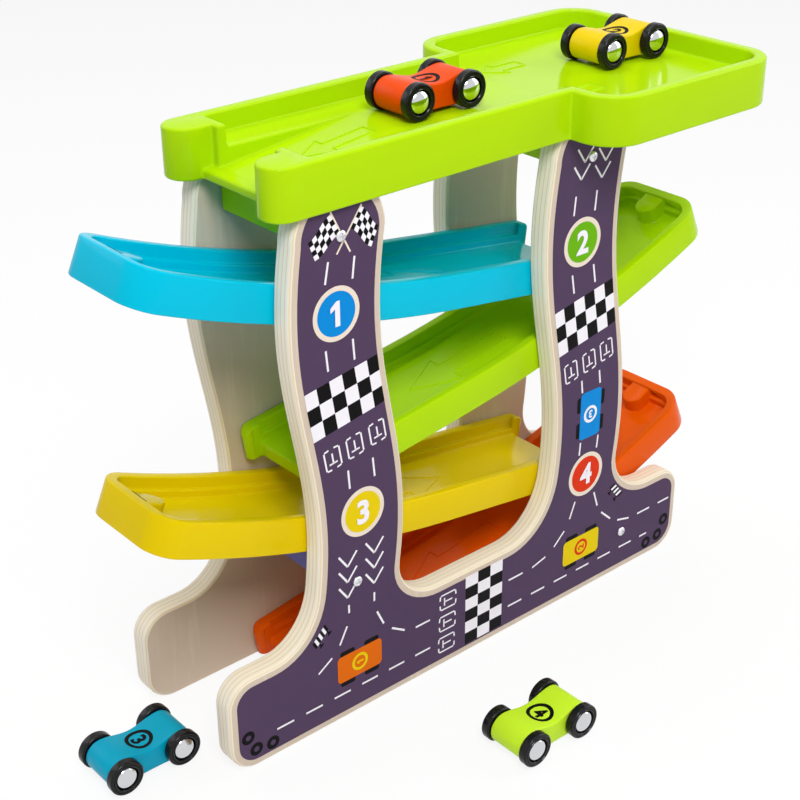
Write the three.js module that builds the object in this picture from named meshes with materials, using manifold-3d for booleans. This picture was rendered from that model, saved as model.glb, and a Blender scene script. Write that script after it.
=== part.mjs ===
// Wooden ramp racer: two plywood side panels carry a launch tray and four zig-zag
// tracks, and four small cars roll on it. Millimetres, +Z up, +X along the panels,
// +Y from the printed front panel towards the back panel.
import * as THREE from 'three';
import { mergeVertices } from 'three/addons/utils/BufferGeometryUtils.js';
import Module from 'manifold-3d';

// Clearances
const FIT = 0.3;               // between moulded pieces and what holds them
const SEAT = 0.05;             // between a fastener and the face it is tightened on
const RUN = 0.06;              // round an axle

// Side panels
const PANEL_THICKNESS = 12;
const PANEL_GAP = 60;          // between the inner faces of the two panels
const PANEL_EDGE_ROUND = 2;
const BASE_LENGTH = 316;
const BASE_HEIGHT = 51.5;
const FOOT_TOP_RADIUS = 14;
const FOOT_BOTTOM_RADIUS = 15;
const LEG_WIDTH = 51.5;
const LEG_SPACING = 156;
const LEG_OFFSET = -4;         // middle of the two legs from the middle of the base
const LEG_TOP_RADIUS = 24;
const LEG_SWAY = 6.3;          // how far a leg swings to either side
const LEG_SWAY_LENGTH = 109;   // height of one swing
const LEG_SWAY_HEIGHT = 108;   // height where a leg is furthest to the right
const FOOT_FILLET = 28;        // leg to foot
const WINDOW_FILLET_LEFT = 25;
const WINDOW_FILLET_RIGHT = 32;

// Launch tray
const TRAY_ABOVE_TRACKS = 113.5; // rim above the underside of the top track's low end
const TRAY_HEIGHT = 24;
const TRAY_LEFT = -120.4;
const TRAY_RIGHT = 175.2;
const LANE_WIDTH = 90;
const PAD_WIDTH = 144;
const PAD_START = 51.6;
const PAD_CORNER_RADIUS = 20;
const TRAY_EDGE_ROUND = 1.2;
const RIM_WIDTH = 6.5;
const POCKET_DEPTH = 10;
const TRAY_FLOOR_THICKNESS = 3;
const POST_WIDTH = 20;         // the two round wall ends beside the drop gap
const POST_LENGTH = 23;
const LIP_SETBACK = 12;        // from the tips of the posts to the lip of the ramp
const SHOULDER_SETBACK = 18;   // from the tips of the posts to the narrow part of the ramp
const RAMP_WIDTH = 41;
const RAMP_DROP = 9.5;
const RAMP_TOP = -26.4;        // where the ramp leaves the level floor
const BLOCK_LENGTH = 23.2;     // the hollow blocks under the tray that the screws grip
const BLOCK_DEPTH = 42.5;      // below the rim
const BLOCK_WALL = 2.6;
const BOSS_RADIUS = 4.2;

// Tracks
const TRACK_HEIGHT = 18;
const TRACK_PITCH = 59;        // from one track up to the next
const TRACK_LOWEST = 3;        // underside of the bottom track's low end
const TRACK_LENGTH = 276;      // along X
const TRACK_LOW_END = 93.5;    // from the middle of the base
const TRACK_STRAIGHT = 98;     // level part at the low end, along X
const TRACK_LOW_SLOPE = THREE.MathUtils.degToRad(8);
const TRACK_HIGH_SLOPE = THREE.MathUtils.degToRad(24.8);
const TRACK_WALL = 5.5;
const TRACK_LEDGE = 2;
const TRACK_LEDGE_DEPTH = 6;   // below the rim
const TRACK_FLOOR_DEPTH = 10;  // below the rim
const TRACK_FLOOR_THICKNESS = 2.5;
const TRACK_SKIRT = 2.6;       // wall below the floor
const TRACK_CORNER_RADIUS = 14;
const TRACK_TIP_RADIUS = 6;    // wall top at the low end
const TRACK_TIP_LENGTH = 7;    // wall ends in front of the lip of the floor
const BUMP_RADIUS = 6.5;       // kick bump inside the closed end
const BUMP_REACH = 7;          // from the end wall to the middle of its round end
const BUMP_BELOW_RIM = 0.8;
const PEG_RADIUS = 3;
const PEG_LENGTH = 5;
const PEG_HEIGHT = 10;         // above the underside of the track

// Braces and screws
const BRACE_RADIUS = 9.3;
const BRACE_LEFT = -80.5;
const BRACE_LEFT_RISE = 16;    // above the underside of the third track's low end
const BRACE_RIGHT = 111;
const BRACE_RIGHT_RISE = 23;   // above the underside of the bottom track's low end
const TRAY_SCREW_LEFT = -85;
const TRAY_SCREW_RIGHT = 71.2;
const TRAY_SCREW_DEPTH = 37;   // below the rim
const SCREW_HEAD_RADIUS = 2.7;
const SCREW_HEAD_HEIGHT = 1.8;
const SCREW_SHANK_RADIUS = 1.6;
const SCREW_LENGTH = 24;
const SCREW_SLOT_WIDTH = 0.8;
const SCREW_SLOT_DEPTH = 0.9;

// Cars
const CAR_WHEELBASE = 32;
const CAR_BODY_WIDTH = 20;
const CAR_END_RADIUS = 7.8;
const CAR_SADDLE_DIP = 2.8;    // how far the top dips between the axles
const CAR_ARCH = 0.8;          // how far the underside rises between the axles
const WHEEL_RADIUS = 9;
const WHEEL_WIDTH = 4.8;
const WHEEL_HUB_RADIUS = 5.8;
const WHEEL_WEB = 1.9;         // disc between tyre and axle
const WHEEL_PLAY = 0.4;        // between wheel and body
const AXLE_RADIUS = 1.5;
const HUB_DOME_HEIGHT = 2.9;
const CAR_FLOAT = 0.3;         // wheels of a car on the tray above its floor

const PANEL_COLOUR = 0xe3d3b8;
const LIME = 0xa6e010;
const BLUE = 0x0cbfe0;
const YELLOW = 0xe8c800;
const ORANGE = 0xe6560c;
const VIOLET = 0x6a68a8;
const STEEL = 0xc8ccd0;
const BLACK = 0x141416;

const ARC_STEPS = 11;
const ROUND_STEPS = 5;

// Derived sizes
const INNER_FACE = PANEL_GAP / 2;
const OUTER_FACE = INNER_FACE + PANEL_THICKNESS;
const LEG_LEFT = LEG_OFFSET - LEG_SPACING / 2;
const LEG_RIGHT = LEG_OFFSET + LEG_SPACING / 2;
const FILLING_WIDTH = PANEL_GAP - 2 * FIT;
const TRAY_TOP = TRACK_LOWEST + 3 * TRACK_PITCH + TRAY_ABOVE_TRACKS;
const TRAY_FLOOR = TRAY_TOP - POCKET_DEPTH;
const TRAY_UNDERSIDE = TRAY_FLOOR - TRAY_FLOOR_THICKNESS;
const TRAY_BOTTOM = TRAY_TOP - TRAY_HEIGHT;
const BLOCK_BOTTOM = TRAY_TOP - BLOCK_DEPTH;
const TRAY_SCREW_HEIGHT = TRAY_TOP - TRAY_SCREW_DEPTH;
const BRACE_LEFT_HEIGHT = TRACK_LOWEST + TRACK_PITCH + BRACE_LEFT_RISE;
const BRACE_RIGHT_HEIGHT = TRACK_LOWEST + BRACE_RIGHT_RISE;
const TRAY_SKIRT = LANE_WIDTH / 2 - OUTER_FACE - FIT;
const LEG_TOP = TRAY_UNDERSIDE - FIT;
const SCREW_BORE_RADIUS = SCREW_SHANK_RADIUS + 0.15;
const SCREW_BORE_DEPTH = SCREW_LENGTH - PANEL_THICKNESS + 2;
const AXLE_HALF = CAR_BODY_WIDTH / 2 + WHEEL_PLAY;

const wasm = await Module();
wasm.setup();

// Solids

function solid(geometry) {
  const plain = geometry.clone();
  plain.deleteAttribute('normal');
  plain.deleteAttribute('uv');
  const merged = mergeVertices(plain, 1e-4);
  return new wasm.Manifold(new wasm.Mesh({
    numProp: 3,
    vertProperties: new Float32Array(merged.attributes.position.array),
    triVerts: new Uint32Array(merged.index.array),
  }));
}

function geometryOf(body) {
  const mesh = body.getMesh();
  const geometry = new THREE.BufferGeometry();
  geometry.setAttribute('position', new THREE.BufferAttribute(mesh.vertProperties, 3));
  geometry.setIndex(new THREE.BufferAttribute(mesh.triVerts, 1));
  geometry.computeVertexNormals();
  return geometry;
}

// A shape drawn in X and Z, extruded along Y about the middle plane.
function across(shape, width, edgeRound = 0) {
  const geometry = new THREE.ExtrudeGeometry(shape, {
    depth: width - 2 * edgeRound,
    bevelEnabled: edgeRound > 0,
    bevelSize: edgeRound,
    bevelOffset: -edgeRound,
    bevelThickness: edgeRound,
    bevelSegments: 1,
    curveSegments: ROUND_STEPS,
  });
  geometry.translate(0, 0, edgeRound - width / 2);
  geometry.rotateX(Math.PI / 2);
  return geometry;
}

// A shape drawn in X and Y, extruded up from one height to another.
function upright(shape, bottom, top, edgeRound = 0) {
  const geometry = new THREE.ExtrudeGeometry(shape, {
    depth: top - bottom - 2 * edgeRound,
    bevelEnabled: edgeRound > 0,
    bevelSize: edgeRound,
    bevelOffset: -edgeRound,
    bevelThickness: edgeRound,
    bevelSegments: 1,
    curveSegments: ROUND_STEPS,
  });
  geometry.translate(0, 0, bottom + edgeRound);
  return geometry;
}

function block(lowX, highX, width, bottom, top) {
  const geometry = new THREE.BoxGeometry(highX - lowX, width, top - bottom);
  geometry.translate((lowX + highX) / 2, 0, (bottom + top) / 2);
  return solid(geometry);
}

// A round bar along Y.
function bar(radius, x, z, lowY, highY, sides = 16) {
  const geometry = new THREE.CylinderGeometry(radius, radius, highY - lowY, sides);
  geometry.translate(x, (lowY + highY) / 2, z);
  return geometry;
}

function mesh(name, geometry, colour, roughness, metalness = 0) {
  const material = new THREE.MeshStandardMaterial({ color: colour, roughness, metalness });
  const piece = new THREE.Mesh(geometry, material);
  piece.name = name;
  return piece;
}

// Side panels

function sway(z) {
  return LEG_SWAY * Math.cos(Math.PI * (z - LEG_SWAY_HEIGHT) / LEG_SWAY_LENGTH);
}

function legEdge(leg, side, z) {
  return new THREE.Vector2(leg + sway(z) + side * LEG_WIDTH / 2, z);
}

// Runs up or down one edge of a leg, joined to the base by a fillet.
function drawLegEdge(shape, leg, side, fillet, upwards) {
  const start = BASE_HEIGHT + fillet;
  const edge = legEdge(leg, side, start);
  const above = legEdge(leg, side, start + 1);
  const slope = above.x - edge.x;
  const pull = 0.55 * fillet;
  const base = new THREE.Vector2(edge.x + side * fillet, BASE_HEIGHT);
  const nearBase = new THREE.Vector2(base.x - side * pull, BASE_HEIGHT);
  const nearEdge = new THREE.Vector2(edge.x - slope * pull, start - pull);
  const end = LEG_TOP - LEG_TOP_RADIUS;
  const wave = [];
  for (let step = 1; step <= ARC_STEPS; step += 1) {
    wave.push(legEdge(leg, side, start + (end - start) * step / ARC_STEPS));
  }
  const round = legEdge(leg, side, end).x - side * LEG_TOP_RADIUS;
  if (upwards) {
    shape.lineTo(base.x, base.y);
    shape.bezierCurveTo(nearBase.x, nearBase.y, nearEdge.x, nearEdge.y, edge.x, edge.y);
    wave.forEach((point) => shape.lineTo(point.x, point.y));
    shape.absarc(round, end, LEG_TOP_RADIUS, 0, Math.PI / 2);
  } else {
    shape.absarc(round, end, LEG_TOP_RADIUS, Math.PI / 2, Math.PI);
    wave.reverse().slice(1).forEach((point) => shape.lineTo(point.x, point.y));
    shape.lineTo(edge.x, edge.y);
    shape.bezierCurveTo(nearEdge.x, nearEdge.y, nearBase.x, nearBase.y, base.x, base.y);
  }
}

function panelShape() {
  const half = BASE_LENGTH / 2;
  const shape = new THREE.Shape();
  shape.moveTo(-half + FOOT_BOTTOM_RADIUS, 0);
  shape.lineTo(half - FOOT_BOTTOM_RADIUS, 0);
  shape.absarc(half - FOOT_BOTTOM_RADIUS, FOOT_BOTTOM_RADIUS, FOOT_BOTTOM_RADIUS, -Math.PI / 2, 0);
  shape.absarc(half - FOOT_TOP_RADIUS, BASE_HEIGHT - FOOT_TOP_RADIUS, FOOT_TOP_RADIUS, 0, Math.PI / 2);
  drawLegEdge(shape, LEG_RIGHT, 1, FOOT_FILLET, true);
  drawLegEdge(shape, LEG_RIGHT, -1, WINDOW_FILLET_RIGHT, false);
  drawLegEdge(shape, LEG_LEFT, 1, WINDOW_FILLET_LEFT, true);
  drawLegEdge(shape, LEG_LEFT, -1, FOOT_FILLET, false);
  shape.absarc(-half + FOOT_TOP_RADIUS, BASE_HEIGHT - FOOT_TOP_RADIUS, FOOT_TOP_RADIUS,
    Math.PI / 2, Math.PI);
  shape.absarc(-half + FOOT_BOTTOM_RADIUS, FOOT_BOTTOM_RADIUS, FOOT_BOTTOM_RADIUS,
    Math.PI, Math.PI * 1.5);
  return shape;
}

const screwPlaces = [
  { name: 'tray_left', x: TRAY_SCREW_LEFT, z: TRAY_SCREW_HEIGHT },
  { name: 'tray_right', x: TRAY_SCREW_RIGHT, z: TRAY_SCREW_HEIGHT },
  { name: 'brace_left', x: BRACE_LEFT, z: BRACE_LEFT_HEIGHT },
  { name: 'brace_right', x: BRACE_RIGHT, z: BRACE_RIGHT_HEIGHT },
];

// side is -1 for the front panel and 1 for the back panel.
function panel(name, side) {
  const middle = side * (INNER_FACE + PANEL_THICKNESS / 2);
  const board = across(panelShape(), PANEL_THICKNESS, PANEL_EDGE_ROUND);
  board.translate(0, middle, 0);
  let body = solid(board);
  for (const place of screwPlaces) {
    const through = bar(SCREW_BORE_RADIUS, place.x, place.z, middle - PANEL_THICKNESS,
      middle + PANEL_THICKNESS, 12);
    body = body.subtract(solid(through));
  }
  const holeDepth = PEG_LENGTH + 2 * FIT;
  for (const track of tracks) {
    for (const peg of pegPlaces(track)) {
      const inner = side * (INNER_FACE - 1);
      const deep = side * (INNER_FACE + holeDepth);
      const hole = bar(PEG_RADIUS + FIT, peg.x, peg.z, Math.min(inner, deep), Math.max(inner, deep), 12);
      body = body.subtract(solid(hole));
    }
  }
  return mesh(name, geometryOf(body), PANEL_COLOUR, 0.65);
}

// Launch tray

function roundedCorner(shape, x, y, radius, from) {
  shape.absarc(x, y, radius, from, from + Math.PI / 2);
}

// Plan of the tray drawn in by inset, from a left edge to the right end.
function trayPlan(inset, left) {
  const lane = LANE_WIDTH / 2 - inset;
  const pad = PAD_WIDTH / 2 - inset;
  const right = TRAY_RIGHT - inset;
  const start = PAD_START + inset;
  const radius = PAD_CORNER_RADIUS - inset;
  const shape = new THREE.Shape();
  shape.moveTo(left, -lane);
  shape.lineTo(start, -lane);
  roundedCorner(shape, start + radius, -pad + radius, radius, Math.PI);
  roundedCorner(shape, right - radius, -pad + radius, radius, -Math.PI / 2);
  roundedCorner(shape, right - radius, pad - radius, radius, 0);
  roundedCorner(shape, start + radius, pad - radius, radius, Math.PI / 2);
  shape.lineTo(start, lane);
  shape.lineTo(left, lane);
  return shape;
}

// Outer plan with the two round posts and the lip between them.
function trayOutline() {
  const shape = trayPlan(0, TRAY_LEFT + POST_WIDTH / 2);
  const tip = TRAY_LEFT + POST_WIDTH / 2;
  const middle = (LANE_WIDTH - POST_WIDTH) / 2;
  const lip = TRAY_LEFT + LIP_SETBACK;
  shape.absarc(tip, middle, POST_WIDTH / 2, Math.PI / 2, Math.PI * 1.5);
  shape.lineTo(lip, middle - POST_WIDTH / 2);
  shape.lineTo(lip, -middle + POST_WIDTH / 2);
  shape.absarc(tip, -middle, POST_WIDTH / 2, Math.PI / 2, Math.PI * 1.5);
  return shape;
}

function rampHeight(x) {
  const lip = TRAY_LEFT + LIP_SETBACK;
  return TRAY_FLOOR - RAMP_DROP * (RAMP_TOP - x) / (RAMP_TOP - lip);
}

// The space above the ramp, from the floor of the ramp up, over the given stretch.
function rampSpace(left, right, width, below) {
  const top = TRAY_TOP + 1;
  const shape = new THREE.Shape();
  shape.moveTo(left, rampHeight(left) - below);
  shape.lineTo(right, rampHeight(right) - below);
  shape.lineTo(right, top);
  shape.lineTo(left, top);
  return solid(across(shape, width));
}

function trayBlock(screwX) {
  const low = screwX - BLOCK_LENGTH / 2;
  const high = screwX + BLOCK_LENGTH / 2;
  const roof = TRAY_UNDERSIDE - RAMP_DROP - BLOCK_WALL;
  const outer = block(low, high, FILLING_WIDTH, BLOCK_BOTTOM, TRAY_UNDERSIDE + 1);
  const inner = block(low + BLOCK_WALL, high - BLOCK_WALL, FILLING_WIDTH - 2 * BLOCK_WALL,
    BLOCK_BOTTOM - 1, roof);
  let body = outer.subtract(inner);
  for (const side of [-1, 1]) {
    const face = side * FILLING_WIDTH / 2;
    const deep = side * (FILLING_WIDTH / 2 - SCREW_BORE_DEPTH - BLOCK_WALL);
    const lowY = Math.min(face, deep);
    const highY = Math.max(face, deep);
    body = body.add(solid(bar(BOSS_RADIUS, screwX, TRAY_SCREW_HEIGHT, lowY, highY, 12)));
  }
  return body;
}

function screwBores(x, z, halfWidth) {
  const bores = [];
  for (const side of [-1, 1]) {
    const outside = side * (halfWidth + 1);
    const deep = side * (halfWidth - SCREW_BORE_DEPTH);
    bores.push(solid(bar(SCREW_BORE_RADIUS, x, z, Math.min(outside, deep), Math.max(outside, deep), 12)));
  }
  return bores;
}

// The space under the tray that the panels reach up into, with a round end in each post.
function trayHollow() {
  const start = TRAY_LEFT + LIP_SETBACK + TRAY_SKIRT;
  const radius = POST_WIDTH / 2 - TRAY_SKIRT;
  const tip = TRAY_LEFT + POST_WIDTH / 2;
  let hollow = solid(upright(trayPlan(TRAY_SKIRT, start), TRAY_BOTTOM - 1, TRAY_UNDERSIDE));
  for (const side of [-1, 1]) {
    const middle = side * (LANE_WIDTH - POST_WIDTH) / 2;
    const shape = new THREE.Shape();
    shape.moveTo(start + 1, middle + radius);
    shape.lineTo(tip, middle + radius);
    shape.absarc(tip, middle, radius, Math.PI / 2, Math.PI * 1.5);
    shape.lineTo(start + 1, middle - radius);
    hollow = hollow.add(solid(upright(shape, TRAY_BOTTOM - 1, TRAY_UNDERSIDE)));
  }
  return hollow;
}

function launchTray() {
  const postEnd = TRAY_LEFT + POST_LENGTH;
  const lip = TRAY_LEFT + LIP_SETBACK;
  const shoulder = TRAY_LEFT + SHOULDER_SETBACK;
  const gapWidth = LANE_WIDTH - 2 * POST_WIDTH;
  const outline = solid(upright(trayOutline(), TRAY_BOTTOM, TRAY_TOP, TRAY_EDGE_ROUND));
  const pocket = solid(upright(trayPlan(RIM_WIDTH, postEnd), TRAY_FLOOR, TRAY_TOP + 1));
  const trough = rampSpace(lip - 1, RAMP_TOP, RAMP_WIDTH + 2 * BLOCK_WALL, TRAY_FLOOR_THICKNESS);
  const mouth = rampSpace(lip - 1, shoulder + BLOCK_WALL, gapWidth + 2 * BLOCK_WALL, TRAY_FLOOR_THICKNESS);
  const hollow = trayHollow().subtract(trough).subtract(mouth);
  let body = outline.subtract(hollow).subtract(pocket);
  for (const screwX of [TRAY_SCREW_LEFT, TRAY_SCREW_RIGHT]) {
    body = body.add(trayBlock(screwX));
  }
  body = body.subtract(rampSpace(lip - 1, RAMP_TOP, RAMP_WIDTH, 0));
  body = body.subtract(rampSpace(lip - 1, shoulder, gapWidth, 0));
  for (const screwX of [TRAY_SCREW_LEFT, TRAY_SCREW_RIGHT]) {
    for (const bore of screwBores(screwX, TRAY_SCREW_HEIGHT, FILLING_WIDTH / 2)) {
      body = body.subtract(bore);
    }
  }
  return mesh('launch_tray', geometryOf(body), LIME, 0.25);
}

// Tracks

const TRACK_BEND = (TRACK_LENGTH - TRACK_STRAIGHT)
  / (Math.sin(TRACK_HIGH_SLOPE) - Math.sin(TRACK_LOW_SLOPE));
const LOW_START = -Math.PI / 2 + TRACK_LOW_SLOPE;
const HIGH_END = -Math.PI / 2 + TRACK_HIGH_SLOPE;

// A track is drawn with its low end at the origin and its high end towards +X:
// a straight part, then an arc that steepens. rise is measured square to the floor.
const bendStart = new THREE.Vector2(TRACK_STRAIGHT, TRACK_STRAIGHT * Math.tan(TRACK_LOW_SLOPE));
const bendCentre = new THREE.Vector2(
  bendStart.x - TRACK_BEND * Math.cos(LOW_START),
  bendStart.y - TRACK_BEND * Math.sin(LOW_START),
);

function lowPoint(rise, along = 0) {
  return new THREE.Vector2(
    along * Math.cos(TRACK_LOW_SLOPE) - rise * Math.sin(TRACK_LOW_SLOPE),
    along * Math.sin(TRACK_LOW_SLOPE) + rise * Math.cos(TRACK_LOW_SLOPE),
  );
}

function undersideHeight(x) {
  if (x <= bendStart.x) {
    return x * Math.tan(TRACK_LOW_SLOPE);
  }
  const across2 = (x - bendCentre.x) ** 2;
  return bendCentre.y - Math.sqrt(TRACK_BEND ** 2 - across2);
}

// Side view of the band between two rises, from the low end to an end setback.
function bandShape(lowRise, highRise, startAlong, endSetback, tipRadius = 0) {
  const shape = new THREE.Shape();
  const high = HIGH_END - endSetback / TRACK_BEND;
  const start = lowPoint(lowRise, startAlong);
  const tip = lowPoint(highRise, startAlong + tipRadius);
  const corner = lowPoint(highRise, startAlong);
  const below = lowPoint(highRise - tipRadius, startAlong);
  const bend = lowPoint(lowRise, TRACK_STRAIGHT / Math.cos(TRACK_LOW_SLOPE));
  shape.moveTo(start.x, start.y);
  shape.lineTo(bend.x, bend.y);
  shape.absarc(bendCentre.x, bendCentre.y, TRACK_BEND - lowRise, LOW_START, high, false);
  shape.absarc(bendCentre.x, bendCentre.y, TRACK_BEND - highRise, high, LOW_START, true);
  shape.lineTo(tip.x, tip.y);
  if (tipRadius > 0) {
    shape.quadraticCurveTo(corner.x, corner.y, below.x, below.y);
  }
  return shape;
}

// A long plan with two round corners, stood square to the floor at the high end.
function endPlan(width, setback, radius) {
  const half = width / 2;
  const far = -2 * TRACK_LENGTH;
  const shape = new THREE.Shape();
  shape.moveTo(far, -half);
  shape.lineTo(-setback - radius, -half);
  roundedCorner(shape, -setback - radius, -half + radius, radius, -Math.PI / 2);
  roundedCorner(shape, -setback - radius, half - radius, radius, 0);
  shape.lineTo(far, half);
  const geometry = upright(shape, -TRACK_LENGTH, TRACK_LENGTH);
  return solid(placeAtHighEnd(geometry));
}

function placeAtHighEnd(geometry) {
  geometry.rotateY(-TRACK_HIGH_SLOPE);
  geometry.translate(
    bendCentre.x + TRACK_BEND * Math.cos(HIGH_END),
    0,
    bendCentre.y + TRACK_BEND * Math.sin(HIGH_END),
  );
  return geometry;
}

function channel(lowRise, highRise, width, setback, radius) {
  const band = solid(across(bandShape(lowRise, highRise, -5, 0), width));
  return band.intersect(endPlan(width, setback, radius));
}

// A tongue that stands out from the end wall with a round end.
function kickBump(bottom, top) {
  const wall = -TRACK_WALL + 1;
  const tip = -TRACK_WALL - BUMP_REACH;
  const shape = new THREE.Shape();
  shape.moveTo(wall, -BUMP_RADIUS);
  shape.lineTo(wall, BUMP_RADIUS);
  shape.lineTo(tip, BUMP_RADIUS);
  shape.absarc(tip, 0, BUMP_RADIUS, Math.PI / 2, Math.PI * 1.5);
  return solid(placeAtHighEnd(upright(shape, bottom, top)));
}

// Plan of the low end: two round wall ends with the lip of the floor set back between them.
function lowPlan(floorWidth) {
  const half = FILLING_WIDTH / 2;
  const inner = floorWidth / 2;
  const radius = (half - inner) / 2;
  const far = 2 * TRACK_LENGTH;
  const shape = new THREE.Shape();
  shape.moveTo(far, half);
  shape.lineTo(radius, half);
  shape.absarc(radius, half - radius, radius, Math.PI / 2, Math.PI * 1.5);
  shape.lineTo(TRACK_TIP_LENGTH, inner);
  shape.lineTo(TRACK_TIP_LENGTH, -inner);
  shape.lineTo(radius, -inner);
  shape.absarc(radius, -half + radius, radius, Math.PI / 2, Math.PI * 1.5);
  shape.lineTo(far, -half);
  const geometry = upright(shape, -TRACK_LENGTH, TRACK_LENGTH);
  geometry.rotateY(-TRACK_LOW_SLOPE);
  return solid(geometry);
}

function trackBody() {
  const outer = solid(across(bandShape(0, TRACK_HEIGHT, 0, 0, TRACK_TIP_RADIUS), FILLING_WIDTH));
  let body = outer.intersect(endPlan(FILLING_WIDTH, 0, TRACK_CORNER_RADIUS));
  const upperWidth = FILLING_WIDTH - 2 * TRACK_WALL;
  const lowerWidth = upperWidth - 2 * TRACK_LEDGE;
  const floorRise = TRACK_HEIGHT - TRACK_FLOOR_DEPTH;
  const ledgeRise = TRACK_HEIGHT - TRACK_LEDGE_DEPTH;
  const above = TRACK_HEIGHT + 2;
  const innerRadius = TRACK_CORNER_RADIUS - TRACK_WALL;
  const lowerSetback = TRACK_WALL + TRACK_LEDGE;
  body = body.subtract(channel(ledgeRise, above, upperWidth, TRACK_WALL, innerRadius));
  body = body.subtract(channel(floorRise, above, lowerWidth, lowerSetback, innerRadius - TRACK_LEDGE));
  body = body.add(kickBump(floorRise - 1, TRACK_HEIGHT - BUMP_BELOW_RIM));
  body = body.intersect(lowPlan(lowerWidth));
  const skirtWidth = FILLING_WIDTH - 2 * TRACK_SKIRT;
  const underStart = TRACK_TIP_LENGTH + TRACK_SKIRT;
  const under = solid(across(bandShape(-2, floorRise - TRACK_FLOOR_THICKNESS, underStart, 0), skirtWidth));
  const underPlan = endPlan(skirtWidth, TRACK_SKIRT, TRACK_CORNER_RADIUS - TRACK_SKIRT);
  return body.subtract(under.intersect(underPlan));
}

// heading is -1 where the high end is on the left and 1 where it is on the right.
const tracks = [
  { name: 'track_1_blue', level: 3, heading: -1, colour: BLUE },
  { name: 'track_2_lime', level: 2, heading: 1, colour: LIME },
  { name: 'track_3_yellow', level: 1, heading: -1, colour: YELLOW },
  { name: 'track_4_orange', level: 0, heading: 1, colour: ORANGE },
];

function trackPlace(track) {
  return { x: -track.heading * TRACK_LOW_END, z: TRACK_LOWEST + track.level * TRACK_PITCH };
}

function pegPlaces(track) {
  const place = trackPlace(track);
  return [LEG_LEFT, LEG_RIGHT].map((x) => {
    const fromLow = track.heading * (x - place.x);
    return { x, z: place.z + undersideHeight(fromLow) + PEG_HEIGHT };
  });
}

function trackMesh(track, body) {
  const place = trackPlace(track);
  const geometry = geometryOf(body);
  if (track.heading < 0) {
    geometry.rotateZ(Math.PI);
  }
  geometry.translate(place.x, 0, place.z);
  let whole = solid(geometry);
  for (const peg of pegPlaces(track)) {
    for (const side of [-1, 1]) {
      const root = side * (FILLING_WIDTH / 2 - 1);
      const end = side * (FILLING_WIDTH / 2 + PEG_LENGTH);
      whole = whole.add(solid(bar(PEG_RADIUS, peg.x, peg.z, Math.min(root, end), Math.max(root, end), 12)));
    }
  }
  return mesh(track.name, geometryOf(whole), track.colour, 0.25);
}

// Braces and screws

function brace(name, place) {
  let body = solid(bar(BRACE_RADIUS, place.x, place.z, -FILLING_WIDTH / 2, FILLING_WIDTH / 2, 24));
  for (const bore of screwBores(place.x, place.z, FILLING_WIDTH / 2)) {
    body = body.subtract(bore);
  }
  return mesh(name, geometryOf(body), VIOLET, 0.5);
}

// A pan-head screw along +Y with the underside of its head at the origin.
function screwGeometry() {
  const profile = [
    [0, -SCREW_HEAD_HEIGHT],
    [0.55 * SCREW_HEAD_RADIUS, -0.93 * SCREW_HEAD_HEIGHT],
    [0.9 * SCREW_HEAD_RADIUS, -0.6 * SCREW_HEAD_HEIGHT],
    [SCREW_HEAD_RADIUS, 0],
    [SCREW_SHANK_RADIUS, 0],
    [SCREW_SHANK_RADIUS, SCREW_LENGTH - 2 * SCREW_SHANK_RADIUS],
    [0, SCREW_LENGTH],
  ].map(([radius, y]) => new THREE.Vector2(radius, y));
  let body = solid(new THREE.LatheGeometry(profile, 12));
  const slotLength = 1.2 * SCREW_HEAD_RADIUS;
  for (const [wide, tall] of [[slotLength, SCREW_SLOT_WIDTH], [SCREW_SLOT_WIDTH, slotLength]]) {
    const slot = new THREE.BoxGeometry(wide, 2 * SCREW_SLOT_DEPTH, tall);
    slot.translate(0, -SCREW_HEAD_HEIGHT, 0);
    body = body.subtract(solid(slot));
  }
  return geometryOf(body);
}

function screws() {
  const shape = screwGeometry();
  const set = [];
  for (const [panelName, side] of [['front', -1], ['back', 1]]) {
    for (const place of screwPlaces) {
      const screw = mesh(`screw_${panelName}_${place.name}`, shape, STEEL, 0.3, 1);
      screw.position.set(place.x, side * (OUTER_FACE + SEAT), place.z);
      screw.rotation.z = side > 0 ? Math.PI : 0;
      set.push(screw);
    }
  }
  return set;
}

// Cars

// Round ends over the axles, a low arch below and a dip in the top between them.
function carBodyGeometry() {
  const half = CAR_WHEELBASE / 2;
  const crest = CAR_END_RADIUS;
  const dip = crest - 2 * CAR_SADDLE_DIP;
  const shape = new THREE.Shape();
  shape.moveTo(-half, -crest);
  shape.quadraticCurveTo(0, -crest + 2 * CAR_ARCH, half, -crest);
  shape.absarc(half, 0, crest, -Math.PI / 2, Math.PI / 2);
  shape.bezierCurveTo(0.45 * half, crest, 0.45 * half, dip + CAR_SADDLE_DIP, 0, dip + CAR_SADDLE_DIP);
  shape.bezierCurveTo(-0.45 * half, dip + CAR_SADDLE_DIP, -0.45 * half, crest, -half, crest);
  shape.absarc(-half, 0, crest, Math.PI / 2, Math.PI * 1.5);
  let body = solid(across(shape, CAR_BODY_WIDTH, 0.6));
  for (const side of [-1, 1]) {
    const bore = bar(AXLE_RADIUS + RUN, side * half, 0, -CAR_BODY_WIDTH, CAR_BODY_WIDTH, 16);
    body = body.subtract(solid(bore));
  }
  return geometryOf(body);
}

function lathe(points, sides) {
  const profile = points.map(([radius, y]) => new THREE.Vector2(radius, y));
  return geometryOf(solid(new THREE.LatheGeometry(profile, sides)));
}

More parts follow.
